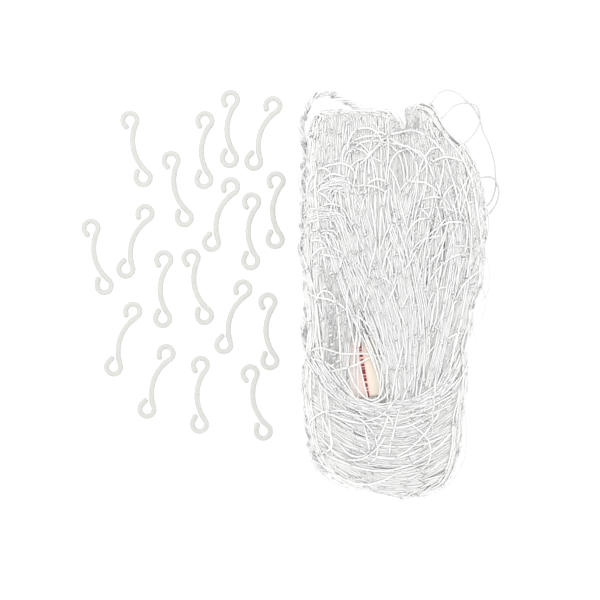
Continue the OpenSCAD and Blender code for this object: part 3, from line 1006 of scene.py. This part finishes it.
def twine_material(name, color, lay, plies=3):
    """Twisted twine: plies that wind round it once in each lay, fine fibres, painted shade in the grooves between the
    plies and painted shade on runs that lie deeper in the hank.
    """
    paint = Paint(name, color, 0.5, Specular_IOR_Level=0.3, Subsurface_Weight=0.7, Subsurface_Scale=0.004)
    paint.shader.inputs["Subsurface Radius"].default_value = (1.0, 1.0, 1.0)
    parts = paint.node("ShaderNodeSeparateXYZ")
    paint.link(paint.attribute("way_round").outputs["Vector"], parts.inputs["Vector"])
    angle = paint.math("ARCTAN2", parts.outputs["Y"], parts.outputs["X"])
    along = paint.attribute("along").outputs["Fac"]
    phase = paint.math("ADD", paint.math("MULTIPLY", angle, float(plies)),
                       paint.math("MULTIPLY", along, plies * 2 * math.pi / lay))
    ply = paint.math("ABSOLUTE", paint.math("SINE", paint.math("MULTIPLY", phase, 0.5)))
    fibre = paint.math("SINE", paint.math("MULTIPLY", phase, 5.0))
    height = paint.math("ADD", ply, paint.math("MULTIPLY", fibre, 0.06))
    normal = paint.bump(height, 0.35, 0.00025)
    paint.link(normal, paint.shader.inputs["Normal"])
    cloud = paint.noise(60, 2.0)
    # Painted shade: the grooves between the plies are made a little darker.
    groove_shade = paint.ramp(ply, [(0.0, shade(color, 0.97)), (0.35, color)])
    tint = paint.ramp(cloud, [(0.3, (0.97, 0.97, 0.98)), (0.7, (1.0, 1.0, 1.0))])
    # Painted shade: twine that lies deeper in the hank is made darker.
    depth = paint.ramp(paint.attribute("shade_depth").outputs["Fac"],
                       [(0.0, (1.0, 1.0, 1.0)), (0.4, (0.98, 0.98, 0.975)), (0.8, (0.95, 0.95, 0.94))])
    both = paint.multiply(paint.multiply(groove_shade, tint), depth)
    paint.link(both, paint.shader.inputs["Base Color"])
    rough = paint.math("ADD", paint.math("MULTIPLY", cloud, 0.2), 0.4)
    paint.link(rough, paint.shader.inputs["Roughness"])
    return paint.material


def packed_material(name, color):
    """Runs of twine packed side by side, with painted shade in the grooves between them, seen only through the gaps
    between the outer ones.
    """
    paint = Paint(name, color, 0.7, Specular_IOR_Level=0.2)
    place = paint.node("ShaderNodeSeparateXYZ")
    paint.link(paint.node("ShaderNodeTexCoord").outputs["Object"], place.inputs["Vector"])
    sway = paint.math("MULTIPLY", paint.noise(25, 2.0), 0.03)
    run = paint.math("MULTIPLY", paint.math("ADD", place.outputs["X"], sway), math.pi / 0.0017)
    ridge = paint.math("ABSOLUTE", paint.math("SINE", run))
    paint.link(paint.bump(ridge, 0.6, 0.0008), paint.shader.inputs["Normal"])
    # Painted shade: the grooves between the packed runs are made darker.
    paint.link(paint.ramp(ridge, [(0.0, shade(color, 0.9)), (0.5, color)]), paint.shader.inputs["Base Color"])
    return paint.material


def paper_material(name, color, ink):
    """Coated paper with a warm printed field and a column of plain dark bars down it."""
    paint = Paint(name, color, 0.45, Specular_IOR_Level=0.4, Coat_Weight=0.15, Coat_Roughness=0.3)
    spot = paint.node("ShaderNodeSeparateXYZ")
    paint.link(paint.node("ShaderNodeUVMap", uv_map="print").outputs["UV"], spot.inputs["Vector"])
    across, up = spot.outputs["X"], spot.outputs["Y"]
    field = paint.ramp(across, [(0.0, (0.84, 0.79, 0.77)), (0.3, (0.82, 0.7, 0.66)), (0.45, (0.8, 0.52, 0.46)),
                                (0.55, (0.82, 0.7, 0.62)), (0.72, color), (1.0, (0.84, 0.83, 0.76))])
    column = paint.math("COMPARE", across, 0.435)
    column.node.inputs[2].default_value = 0.045
    bars = paint.node("ShaderNodeTexNoise", noise_dimensions="1D")
    bars.inputs["Scale"].default_value = 22
    bars.inputs["Detail"].default_value = 1.0
    paint.link(up, bars.inputs["W"])
    dark = paint.math("MULTIPLY", column, paint.math("GREATER_THAN", bars.outputs["Fac"], 0.45))
    inked = paint.node("ShaderNodeMix", data_type="RGBA")
    paint.link(dark, inked.inputs["Factor"])
    paint.link(field, inked.inputs["A"])
    inked.inputs["B"].default_value = (*ink, 1)
    fibre = paint.noise(900, 3.0)
    grain = paint.ramp(fibre, [(0.3, (0.96, 0.96, 0.95)), (0.7, (1.0, 1.0, 1.0))])
    paint.link(paint.multiply(inked.outputs["Result"], grain), paint.shader.inputs["Base Color"])
    paint.link(paint.bump(fibre, 0.15, 0.0001), paint.shader.inputs["Normal"])
    return paint.material


def plastic_material(name, color):
    """Moulded plastic: faint flow marks, a fine satin grain and slightly duller patches."""
    paint = Paint(name, color, 0.36, Specular_IOR_Level=0.5, Subsurface_Weight=0.12, Subsurface_Scale=0.002)
    paint.shader.inputs["Subsurface Radius"].default_value = (1.0, 0.9, 0.8)
    flow = paint.noise(140, 3.0)
    grain = paint.noise(2600, 2.0)
    normal = paint.bump(flow, 0.12, 0.0004)
    normal = paint.bump(grain, 0.12, 0.00006, normal)
    paint.link(normal, paint.shader.inputs["Normal"])
    tint = paint.ramp(flow, [(0.3, shade(color, 0.965)), (0.7, shade(color, 1.015))])
    paint.link(tint, paint.shader.inputs["Base Color"])
    rough = paint.math("ADD", paint.math("MULTIPLY", flow, 0.18), 0.27)
    paint.link(rough, paint.shader.inputs["Roughness"])
    return paint.material


def finish(kind):
    """The finish of that kind, made on first use."""
    name = "finish_" + kind
    if name in bpy.data.materials:
        return bpy.data.materials[name]
    look = bpy.context.scene.net_look
    made = {
        "twine": lambda: twine_material(name, look.twine_color, 0.0048),
        "packed": lambda: packed_material(name, look.twine_color),
        "lacing": lambda: twine_material(name, look.lacing_color, 0.0048),
        "rope": lambda: twine_material(name, look.rope_and_edge_shade_color, 0.006),
        # The loose edge twine and the twine laced along the rope take the rope's darker, bluer colour: painted shade
        # at the hank's edges.
        "slack": lambda: twine_material(name, look.rope_and_edge_shade_color, 0.0048),
        "plastic": lambda: plastic_material(name, look.clip_color),
        "paper": lambda: paper_material(name, look.paper_color, look.print_color),
    }
    return made[kind]()


# ---------------------------------------------------------------- settings

class NetLook(bpy.types.PropertyGroup):
    """Colours of the net set."""

    twine_color: FloatVectorProperty(
        name="Twine", description="Colour of the net's twine and rope", subtype="COLOR", size=3,
        min=0, max=1, default=(0.945, 0.945, 0.935))
    lacing_color: FloatVectorProperty(
        name="Lacing", description="Colour of the loose lacing loops", subtype="COLOR", size=3,
        min=0, max=1, default=(0.56, 0.56, 0.575))
    # The border rope's colour, partly its own tone and partly painted shade; the loose edge twine takes it too, as
    # painted shade at the hank's edges.
    rope_and_edge_shade_color: FloatVectorProperty(
        name="Rope", description="Colour of the border rope", subtype="COLOR", size=3,
        min=0, max=1, default=(0.87, 0.87, 0.88))
    paper_color: FloatVectorProperty(
        name="Label", description="Colour of the label's paper", subtype="COLOR", size=3,
        min=0, max=1, default=(0.66, 0.61, 0.52))
    print_color: FloatVectorProperty(
        name="Print", description="Colour of the bars printed on the label", subtype="COLOR", size=3,
        min=0, max=1, default=(0.2, 0.02, 0.02))
    clip_color: FloatVectorProperty(
        name="Clips", description="Colour of the moulded clips", subtype="COLOR", size=3,
        min=0, max=1, default=(0.585, 0.585, 0.56))


class NetHank(bpy.types.PropertyGroup):
    """Sizes of the gathered net."""

    twine: FloatProperty(
        name="Twine", description="Diameter of the net's twine", subtype="DISTANCE", unit="LENGTH",
        default=0.0016, min=0.001, max=0.003)
    rope: FloatProperty(
        name="Rope", description="Diameter of the border rope", subtype="DISTANCE", unit="LENGTH",
        default=0.0044, min=0.003, max=0.01)
    left_runs: IntProperty(
        name="Left runs", description="Doubled runs of twine in the left fold", default=150, min=20, max=400)
    right_runs: IntProperty(
        name="Right runs", description="Doubled runs of twine in the right fold", default=142, min=20, max=400)
    turns: IntProperty(
        name="Turns", description="Turns of twine round the wrapped end", default=170, min=20, max=300)
    strays: IntProperty(
        name="Stray loops", description="Loops of twine that lie over the others", default=58, min=0, max=400)
    sides: IntProperty(
        name="Side runs", description="Runs of twine that follow the hank's sides", default=180, min=0, max=400)
    rounds: IntProperty(
        name="Settling", description="Rounds in which crossing runs are moved apart", default=36, min=4, max=100)
    mesh_side: FloatProperty(
        name="Mesh side", description="Twine between one knot and the next", subtype="DISTANCE",
        unit="LENGTH", default=0.1, min=0.02, max=0.2)


class NetClips(bpy.types.PropertyGroup):
    """Sizes of one moulded clip."""

    loop_pitch: FloatProperty(
        name="Loop pitch", description="From the middle of one loop to the middle of the other",
        subtype="DISTANCE", unit="LENGTH", default=0.053, min=0.03, max=0.1)
    loop_bore: FloatProperty(
        name="Loop bore", description="Width inside a loop", subtype="DISTANCE", unit="LENGTH",
        default=0.0087, min=0.004, max=0.02)
    bar_width: FloatProperty(
        name="Bar width", description="Width of the bar from above", subtype="DISTANCE", unit="LENGTH",
        default=0.0043, min=0.002, max=0.01)
    bar_height: FloatProperty(
        name="Bar height", description="Height of the bar", subtype="DISTANCE", unit="LENGTH",
        default=0.0042, min=0.002, max=0.01)
    edge: FloatProperty(
        name="Edge", description="Radius of the bar's long edges", subtype="DISTANCE", unit="LENGTH",
        default=0.0012, min=0.0, max=0.002)
    shank_bow: FloatProperty(
        name="Shank bow", description="How far the shank bows out", subtype="DISTANCE", unit="LENGTH",
        default=0.0027, min=0.0, max=0.01)
    upper_turn: FloatProperty(
        name="Upper turn", description="How far round the upper loop goes", subtype="ANGLE", unit="ROTATION",
        default=math.radians(247), min=0, max=2 * math.pi)
    lower_turn: FloatProperty(
        name="Lower turn", description="How far round the lower loop goes", subtype="ANGLE", unit="ROTATION",
        default=math.radians(242), min=0, max=2 * math.pi)
    upper_finger: FloatProperty(
        name="Upper finger", description="Straight end of the upper loop", subtype="DISTANCE", unit="LENGTH",
        default=0.0022, min=0.0, max=0.01)
    lower_finger: FloatProperty(
        name="Lower finger", description="Straight end of the lower loop", subtype="DISTANCE", unit="LENGTH",
        default=0.0044, min=0.0, max=0.01)
    parting: FloatProperty(
        name="Parting line", description="Height of the fine ridge round the bar", subtype="DISTANCE",
        unit="LENGTH", default=0.00018, min=0.0, max=0.001)
    gate: FloatProperty(
        name="Gate", description="Width of the gate mark on the shank", subtype="DISTANCE", unit="LENGTH",
        default=0.0014, min=0.0, max=0.004)


class NetStage(bpy.types.PropertyGroup):
    """The floor, the lights and the camera."""

    view_width: FloatProperty(
        name="View width", description="Width of floor that the camera sees", subtype="DISTANCE",
        unit="LENGTH", default=0.54, min=0.3, max=1.0)
    camera_height: FloatProperty(
        name="Camera height", description="Height of the camera over the floor", subtype="DISTANCE",
        unit="LENGTH", default=2.2, min=1.0, max=5.0)
    sky: FloatProperty(
        name="Sky", description="Strength of the even light from all round", default=1.2, min=0, max=3)
    softbox: FloatProperty(
        name="Softbox", description="Power of the softbox overhead", subtype="POWER", default=5.0,
        min=0, max=100)


# ---------------------------------------------------------------- operators

class NET_OT_stage(bpy.types.Operator):
    """Set out the floor, the lights and the camera"""

    bl_idname = "net.stage"
    bl_label = "Set Stage"

    def execute(self, context):
        stage = context.scene.net_stage
        scene = context.scene
        scene.view_settings.view_transform = "Standard"
        scene.view_settings.look = "None"
        self.camera(scene, stage)
        self.light(scene, stage)
        self.floor()
        return {"FINISHED"}

    def camera(self, scene, stage):
        data = bpy.data.cameras.new("camera")
        data.sensor_width = 36
        data.lens = 36 * stage.camera_height / stage.view_width
        camera = bpy.data.objects.new("camera", data)
        middle = [(CAD_BOX[0][k] + CAD_BOX[1][k]) / 2 for k in range(2)]
        camera.location = (0.014, middle[1] - 0.005, stage.camera_height)
        scene.collection.objects.link(camera)
        scene.camera = camera

    def light(self, scene, stage):
        world = bpy.data.worlds.new("studio")
        world.use_nodes = True
        sky = world.node_tree.nodes["Background"]
        sky.inputs["Color"].default_value = (1, 1, 1, 1)
        sky.inputs["Strength"].default_value = stage.sky
        scene.world = world
        lamp = bpy.data.lights.new("softbox", "AREA")
        lamp.shape = "RECTANGLE"
        lamp.size, lamp.size_y = 1.2, 0.9
        lamp.energy = stage.softbox
        box = bpy.data.objects.new("softbox", lamp)
        box.location = (-0.45, 0.65, 1.5)
        box.rotation_euler = (Vector(box.location)).to_track_quat("Z", "Y").to_euler()
        scene.collection.objects.link(box)

    def floor(self):
        bm = bmesh.new()
        bmesh.ops.create_grid(bm, x_segments=1, y_segments=1, size=6)
        mesh = bpy.data.meshes.new("floor")
        bm.to_mesh(mesh)
        bm.free()
        floor = new_object("floor", mesh)
        paint = Paint("floor_card", (0.62, 0.62, 0.62), 0.9, Specular_IOR_Level=0.1, Emission_Strength=0.5)
        paint.shader.inputs["Emission Color"].default_value = (1, 1, 1, 1)
        grain = paint.noise(900, 2.0)
        paint.link(paint.bump(grain, 0.03, 0.0002), paint.shader.inputs["Normal"])
        mesh.materials.append(paint.material)


class NET_OT_lacing(bpy.types.Operator):
    """Lay the loose loops of lacing twine"""

    bl_idname = "net.lacing"
    bl_label = "Lay Lacing Loops"

    def execute(self, context):
        twine = context.scene.net_hank.twine
        for name, route in LACING_ROUTES.items():
            line = smooth_line(route, 1.6) * MM
            tree = twine_tree()
            loop = grow(name.replace("lacing_loop", "lacing_twine"), polyline_mesh(name, [line / MM]), tree,
                        {"Diameter": twine, "Sides": 12, "Material": finish("lacing")})
            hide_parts(name)
            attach(loop, "net")
        return {"FINISHED"}


def beside(line, reach, lay, phase=0.0):
    """A line that winds round another one at a distance, once in each lay."""
    way = np.gradient(line, axis=0)
    way /= np.linalg.norm(way, axis=1)[:, None]
    side = np.cross(way, (0.0, 0.0, 1.0))
    side /= np.linalg.norm(side, axis=1)[:, None]
    up = np.cross(side, way)
    along = np.concatenate([[0], np.cumsum(np.linalg.norm(np.diff(line, axis=0), axis=1))])
    turn = (2 * math.pi * along / lay + phase)[:, None]
    return line + reach * (side * np.cos(turn) + up * np.sin(turn))


class NET_OT_rope(bpy.types.Operator):
    """Twist the border rope, with the twine that is laced along it and its hitches"""

    bl_idname = "net.rope"
    bl_label = "Twist Border Rope"

    def execute(self, context):
        sizes = context.scene.net_hank
        rope, twine = sizes.rope / MM, sizes.twine / MM
        rng = np.random.default_rng(SEED + 3)
        tree = twine_tree()
        line = smooth_line(ROPE_ROUTE, 0.9)
        strand = rope * 0.5359
        strands = [beside(line, (rope - strand) / 2, rope * 3.2, 2 * math.pi * k / 3) for k in range(3)]
        body = grow("border_rope_strands", polyline_mesh("rope", strands), tree,
                    {"Diameter": strand * MM * 1.04, "Sides": 10, "Material": finish("rope")})
        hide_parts("border_rope")
        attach(body, "net")
        laced = []
        for lay, phase, wide in ((52, 0.4, 1.0), (37, 2.9, 1.25), (64, 4.6, 1.6)):
            path = smooth_line(ROPE_ROUTE, 2.0)
            path = beside(path, (rope + twine) / 2 * wide, lay, phase)
            sway = wander(rng, 0.7)
            path[:, 0] += sway(np.linspace(0, 3, len(path)))
            laced.append(path)
        along = np.arange(len(line)) * 0.9
        at = 10.0
        while at < along[-1] - 12:
            i = int(at / 0.9)
            piece = line[i:i + int(twine * 2.6 / 0.9) + 2]
            fine = smooth_line(piece, 0.55)
            coil = beside(fine, (rope + twine) / 2 + 0.25, twine * 1.06, rng.uniform(0, 6))
            laced.append(coil)
            at += rng.uniform(13, 24)
        for path in laced:
            path[:, 2] = np.maximum(path[:, 2], twine / 2)
        lacing = grow("border_rope_lacing", polyline_mesh("lacing", laced), tree,
                      {"Diameter": sizes.twine, "Sides": 7, "Material": finish("slack")})
        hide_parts("border_rope")
        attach(lacing, "net")
        return {"FINISHED"}


class NET_OT_label(bpy.types.Operator):
    """Fold the paper label that lies in the hank's mouth"""

    bl_idname = "net.label"
    bl_label = "Fold Label"

    def execute(self, context):
        low, high = label_box()
        middle = (low + high) / 2
        slant = LABEL_SLANT
        size = high - low
        # The box of the slanted leaf gives its own width and length
        wide = (size[0] * math.cos(slant) - size[1] * math.sin(slant)) / math.cos(2 * slant)
        tall = (size[1] * math.cos(slant) - size[0] * math.sin(slant)) / math.cos(2 * slant)
        columns, rows = 24, 30
        bm = bmesh.new()
        grid = {}
        print_map = bm.loops.layers.uv.new("print")
        for leaf, (start, end, lift) in enumerate(((-0.5, 0.5, 0.0), (-0.5, 0.42, 1.1))):
            for i in range(columns + 1):
                for j in range(rows + 1):
                    u, v = i / columns, j / rows
                    x = (start + (end - start) * u) * wide
                    y = (v - 0.5) * tall
                    open_by = lift * math.sin(u * math.pi / 2) + 0.25
                    z = low[2] - 0.4 + leaf * open_by * 1.2 + 0.5 * math.sin(3.1 * v + 0.6) * (0.3 + u) \
                        - 0.9 * max(0.0, u - 0.8) * leaf
                    grid[leaf, i, j] = bm.verts.new((
                        (middle[0] + x * math.cos(slant) - y * math.sin(slant)) * MM,
                        (middle[1] + x * math.sin(slant) + y * math.cos(slant)) * MM, z * MM))
            for i in range(columns):
                for j in range(rows):
                    corners = [(i, j), (i + 1, j), (i + 1, j + 1), (i, j + 1)]
                    face = bm.faces.new([grid[leaf, a, b] for a, b in corners])
                    face.smooth = True
                    for loop, (a, b) in zip(face.loops, corners):
                        loop[print_map].uv = (start + 0.5 + (end - start) * a / columns, b / rows)
        for j in range(rows):
            spine = bm.faces.new([grid[0, 0, j], grid[0, 0, j + 1], grid[1, 0, j + 1], grid[1, 0, j]])
            spine.smooth = True
            for loop, v in zip(spine.loops, (j, j + 1, j + 1, j)):
                loop[print_map].uv = (0.0, v / rows)
        bmesh.ops.recalc_face_normals(bm, faces=bm.faces)
        mesh = bpy.data.meshes.new("paper_label")
        bm.to_mesh(mesh)
        bm.free()
        label = new_object("paper_label", mesh)
        paper = label.modifiers.new("Paper", "SOLIDIFY")
        paper.thickness = 0.00022
        paper.offset = 0
        paper.use_even_offset = True
        mesh.materials.append(finish("paper"))
        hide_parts("label")
        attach(label, "net")
        return {"FINISHED"}


class NET_OT_clips(bpy.types.Operator):
    """Mould the clips, each a bar bent into a loop at both ends"""

    bl_idname = "net.clips"
    bl_label = "Mould Clips"

    def centre_line(self, clip):
        """The middle of a clip's bar from the tip of one finger to the tip of the other, and its stoutness."""
        loop_y, loop_r = clip.loop_pitch / 2 / MM, (clip.loop_bore + clip.bar_width) / 2 / MM
        bow, tip = clip.shank_bow / MM, clip.bar_width * 0.57 / MM
        shank_r = (bow**2 + loop_y**2 - loop_r**2) / (2 * (loop_r + bow))
        shank_x = shank_r - bow
        half = math.atan2(loop_y, shank_x)
        parts = []
        for side, turn, finger in ((-1, clip.lower_turn, clip.lower_finger), (1, clip.upper_turn, clip.upper_finger)):
            angle = np.linspace(0, turn, 42)[1:] - half
            arc = np.column_stack([loop_r * np.cos(angle), loop_y + loop_r * np.sin(angle)])
            way = np.array([-math.sin(angle[-1]), math.cos(angle[-1])])
            reach = finger / MM + tip * np.array([0.35, 0.6, 0.78, 0.9, 0.97, 1.0])
            reach = np.concatenate([[finger / MM * 0.5, finger / MM], reach])
            end = arc[-1] + way * reach[:, None]
            stout = np.concatenate([np.ones(len(arc) - 2), [1.03, 1.06], [1.07, 1.12],
                                    1.14 * np.sqrt(1 - np.array([0.35, 0.6, 0.78, 0.9, 0.97, 0.9995]) ** 2)])
            part = np.vstack([arc, end]) * (1, side)
            parts.append((part, stout) if side > 0 else (part[::-1], stout[::-1]))
        angle = np.linspace(math.pi + half, math.pi - half, 30)
        shank = np.column_stack([shank_x + shank_r * np.cos(angle), shank_r * np.sin(angle)])
        full = 1 + 0.07 * ease(0, 3, np.minimum(np.arange(30), np.arange(29, -1, -1)))
        line = np.vstack([parts[0][0], shank, parts[1][0]])
        stout = np.concatenate([parts[0][1], full, parts[1][1]])
        return np.column_stack([line, np.zeros(len(line))]), stout

    def execute(self, context):
        clip = context.scene.net_clips
        line, stout = self.centre_line(clip)
        tree = clip_tree()
        for name, (x, y, turn) in zip(CLIP_NODES, CLIP_PLACES):
            mesh = polyline_mesh(name, [line])
            mesh.attributes.new("stout", "FLOAT", "POINT").data.foreach_set("value", stout)
            low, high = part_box(name)
            made = grow("moulded_" + name, mesh, tree, {
                "Bar Width": clip.bar_width, "Bar Height": clip.bar_height, "Edge": clip.edge,
                "Parting Line": clip.parting, "Gate": clip.gate, "Gate Place": (-clip.shank_bow, 0, 0),
                "Place": (x * MM, y * MM, (low[2] + high[2]) / 2), "Turn": (0, 0, math.radians(turn)),
                "Material": finish("plastic")})
            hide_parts(name)
            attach(made, name)
        return {"FINISHED"}


class NET_OT_gather(bpy.types.Operator):
    """Gather the net: lay its runs in both folds, wind its end round them and settle them"""

    bl_idname = "net.gather"
    bl_label = "Gather Net"

    def execute(self, context):
        sizes = context.scene.net_hank
        rng = np.random.default_rng(SEED)
        hank = Hank()
        groups = {
            "left_runs": (fold_runs(hank, rng, "left", sizes.left_runs), 0.0, False),
            "right_runs": (fold_runs(hank, rng, "right", sizes.right_runs), 0.0, False),
            "wrap_turns": (wrap_turns(hank, rng, sizes.turns), 0.4, False),
            "side_runs": (side_runs(hank, rng, sizes.sides), 0.0, False),
            "stray_loops": (stray_loops(hank, rng, sizes.strays), 3.4, False),
            "face_runs": (face_runs(hank, rng), 4.2, False),
            "slack_runs": ([smooth_line(points, SPACING) for points in SLACK_RUNS], 2.0, True),
        }
        lines, proud, loose, owner = [], [], [], []
        for name, (some, over, free) in groups.items():
            lines += some
            proud += [over] * len(some)
            loose += [free] * len(some)
            owner += [name] * len(some)
        twine = sizes.twine / MM
        rounds = sizes.rounds
        lines = settle(hank, lines, twine, np.array(proud), np.array(loose), rounds)
        self.make_inside(hank)
        self.make_twine(context, hank, lines, owner)
        self.make_knots(context, hank, lines, owner)
        return {"FINISHED"}

    def make_inside(self, hank):
        """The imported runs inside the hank, which only show between the ones round them."""
        step = 2.5
        low, high = hank.outline.min(axis=0), hank.outline.max(axis=0)
        xs, ys = np.arange(low[0], high[0] + step, step), np.arange(low[1], high[1] + step, step)
        gx, gy = np.meshgrid(xs, ys, indexing="ij")
        inward = hank.look_up(hank.depth, gx.ravel(), gy.ravel()).reshape(gx.shape)
        bottom, top = (v.reshape(gx.shape) for v in hank.filled(gx.ravel(), gy.ravel()))
        label_low, label_high = label_box()
        under = ((gx > label_low[0]) & (gx < label_high[0]) & (gy > label_low[1]) & (gy < label_high[1]))
        top = np.where(under, np.minimum(top, label_low[2] - 1.2), top)
        use = (inward > 4.2) & (top - bottom > 1.5)
        bm = bmesh.new()
        upper, lower = {}, {}
        for i, j in zip(*np.nonzero(use)):
            upper[i, j] = bm.verts.new((gx[i, j] * MM, gy[i, j] * MM, top[i, j] * MM))
            lower[i, j] = bm.verts.new((gx[i, j] * MM, gy[i, j] * MM, bottom[i, j] * MM))
        for i, j in upper:
            ring = [(i, j), (i + 1, j), (i + 1, j + 1), (i, j + 1)]
            if all(key in upper for key in ring):
                bm.faces.new([upper[key] for key in ring])
                bm.faces.new([lower[key] for key in reversed(ring)])
        rim = [edge for edge in bm.edges if edge.is_boundary]
        tops = {vert: key for key, vert in upper.items()}
        for edge in rim:
            if edge.verts[0] in tops and edge.verts[1] in tops:
                a, b = edge.verts
                bm.faces.new([b, a, lower[tops[a]], lower[tops[b]]])
        bmesh.ops.delete(bm, geom=[v for v in bm.verts if not v.link_faces], context="VERTS")
        bmesh.ops.recalc_face_normals(bm, faces=bm.faces)
        for face in bm.faces:
            face.smooth = True
        mesh = bpy.data.meshes.new("packed_inside")
        bm.to_mesh(mesh)
        bm.free()
        inside = new_object("packed_inside", mesh)
        mesh.materials.append(finish("packed"))
        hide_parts("net_left_fold", "net_right_fold", "net_wrapped_end")
        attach(inside, "net")

    def make_twine(self, context, hank, lines, owner):
        """The twine of each group of runs, in pieces of no more than the limit."""
        tree = twine_tree()
        stands_for = {
            "left_runs": "net_left_fold", "right_runs": "net_right_fold", "wrap_turns": "net_wrapped_end",
            "side_runs": "net_wrapped_end", "stray_loops": "net_right_fold", "face_runs": "net_left_fold",
            "slack_runs": "net_right_fold",
        }
        for name, node in stands_for.items():
            own = [thin_out(line) for line, who in zip(lines, owner) if who == name]
            batches, size = [[]], 0
            for line in own:
                triangles = len(line) * TWINE_SIDES * 2
                if size + triangles > PIECE_LIMIT:
                    batches.append([])
                    size = 0
                batches[-1].append(line)
                size += triangles
            for number, batch in enumerate(batches, 1):
                # How far down each point lies, for the twine's painted shade.
                shade_depth = [hank.shade_depth(line) for line in batch]
                piece = grow(f"{name}_{number}", polyline_mesh(name, batch, shade_depth), tree,
                             {"Diameter": context.scene.net_hank.twine, "Sides": TWINE_SIDES,
                              "Material": finish("slack" if name == "slack_runs" else "twine")})
                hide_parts(node)
                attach(piece, "net")

    def make_knots(self, context, hank, lines, owner):
        """A knot wherever a mesh corner shows: on the face, and closer together along the hank's sides."""
        rng = np.random.default_rng(SEED + 2)
        size = context.scene.net_hank.twine / MM
        apart = context.scene.net_hank.mesh_side / MM / 2
        places, ways = [], []
        for line, who in zip(lines, owner):
            if who == "slack_runs":
                continue
            step = np.diff(line, axis=0)
            along = np.concatenate([[0], np.cumsum(np.linalg.norm(step, axis=1))])
            inward = hank.look_up(hank.depth, line[:, 0], line[:, 1])
            high = hank.heights(line[:, 0], line[:, 1])[1]
            at = rng.uniform(0, apart)
            while at < along[-1] - 4:
                i = min(int(np.searchsorted(along, at)), len(step) - 1)
                shows = line[i, 2] > high[i] - 2.2 or inward[i] < 3.8
                if shows:
                    places.append(line[i])
                    ways.append(step[i])
                at += apart * rng.uniform(0.8, 1.2) * (0.4 if inward[i] < 4.5 and who != "side_runs" else 1.0)
        places, ways = np.array(places), np.array(ways)
        low, high = label_box()
        clear = ~((places[:, 0] > low[0] + 3) & (places[:, 0] < high[0] - 3) & (places[:, 1] > low[1] + 3)
                  & (places[:, 1] < high[1] - 3))
        places, ways = places[clear], ways[clear]
        places[:, 2] = np.maximum(places[:, 2], size * 1.3)
        mesh = bpy.data.meshes.new("knot_places")
        mesh.vertices.add(len(places))
        mesh.vertices.foreach_set("co", (places * MM).astype(np.float32).ravel())
        mesh.attributes.new("way", "FLOAT_VECTOR", "POINT").data.foreach_set("vector", ways.astype(np.float32).ravel())
        # The knots take the same painted shade by their depth in the hank.
        mesh.attributes.new("shade_depth", "FLOAT", "POINT").data.foreach_set("value", hank.shade_depth(places))
        knot = self.knot_object(size)
        knots = grow("knots", mesh, knot_tree(), {"Knot": knot, "Smallest": 0.85, "Largest": 1.2, "Seed": SEED,
                                                  "Material": finish("twine")})
        bpy.data.objects.remove(knot)
        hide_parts("net_left_fold", "net_right_fold", "net_wrapped_end")
        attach(knots, "net")

    def knot_object(self, size):
        """A small tight netting knot that lies along z: one closed line of twine that passes through itself."""
        count, sides, reach = 12, 4, size * 0.56
        turn = np.linspace(0, 2 * math.pi, count, endpoint=False)
        line = np.column_stack([
            reach * (np.sin(turn) + 1.15 * np.sin(2 * turn)),
            reach * (np.cos(turn) - 1.15 * np.cos(2 * turn)),
            -reach * 0.9 * np.sin(3 * turn),
        ])
        line[:, [0, 2]] = line[:, [2, 0]]
        verts = []
        for i in range(count):
            way = line[(i + 1) % count] - line[i - 1]
            way /= np.linalg.norm(way)
            across = np.cross(way, line[i] + 1e-6)
            across /= np.linalg.norm(across)
            up = np.cross(across, way)
            for k in range(sides):
                angle = 2 * math.pi * k / sides
                verts.append((line[i] + size * 0.5 * (across * math.cos(angle) + up * math.sin(angle))) * MM)
        faces = [[i * sides + k, i * sides + (k + 1) % sides, (i + 1) % count * sides + (k + 1) % sides,
                  (i + 1) % count * sides + k] for i in range(count) for k in range(sides)]
        mesh = bpy.data.meshes.new("knot")
        mesh.from_pydata([tuple(v) for v in verts], [], faces)
        bm = bmesh.new()
        bm.from_mesh(mesh)
        bmesh.ops.recalc_face_normals(bm, faces=bm.faces)
        bm.to_mesh(mesh)
        bm.free()
        return new_object("knot", mesh)


class NET_PT_panel(bpy.types.Panel):
    """The sidebar panel that lists the net's pieces"""

    bl_idname = "NET_PT_panel"
    bl_label = "Sports Net"
    bl_space_type = "VIEW_3D"
    bl_region_type = "UI"
    bl_category = "Sports Net"

    def draw(self, context):
        scene = context.scene
        for group in (scene.net_look, scene.net_hank, scene.net_clips, scene.net_stage):
            box = self.layout.box()
            for key in group.__annotations__:
                box.prop(group, key)
        for name in STEPS:
            self.layout.operator("net." + name)


STEPS = ("stage", "lacing", "rope", "label", "clips", "gather")

CLASSES = (NetLook, NetHank, NetClips, NetStage, NET_OT_stage, NET_OT_lacing, NET_OT_rope, NET_OT_label, NET_OT_clips,
           NET_OT_gather, NET_PT_panel)


def register():
    for cls in CLASSES:
        bpy.utils.register_class(cls)
    bpy.types.Scene.net_look = PointerProperty(type=NetLook)
    bpy.types.Scene.net_hank = PointerProperty(type=NetHank)
    bpy.types.Scene.net_clips = PointerProperty(type=NetClips)
    bpy.types.Scene.net_stage = PointerProperty(type=NetStage)


def unregister():
    del bpy.types.Scene.net_stage
    del bpy.types.Scene.net_clips
    del bpy.types.Scene.net_hank
    del bpy.types.Scene.net_look
    for cls in reversed(CLASSES):
        bpy.utils.unregister_class(cls)


def main():
    register()
    for name in STEPS:
        getattr(bpy.ops.net, name)()


if __name__ == "__main__":
    main()
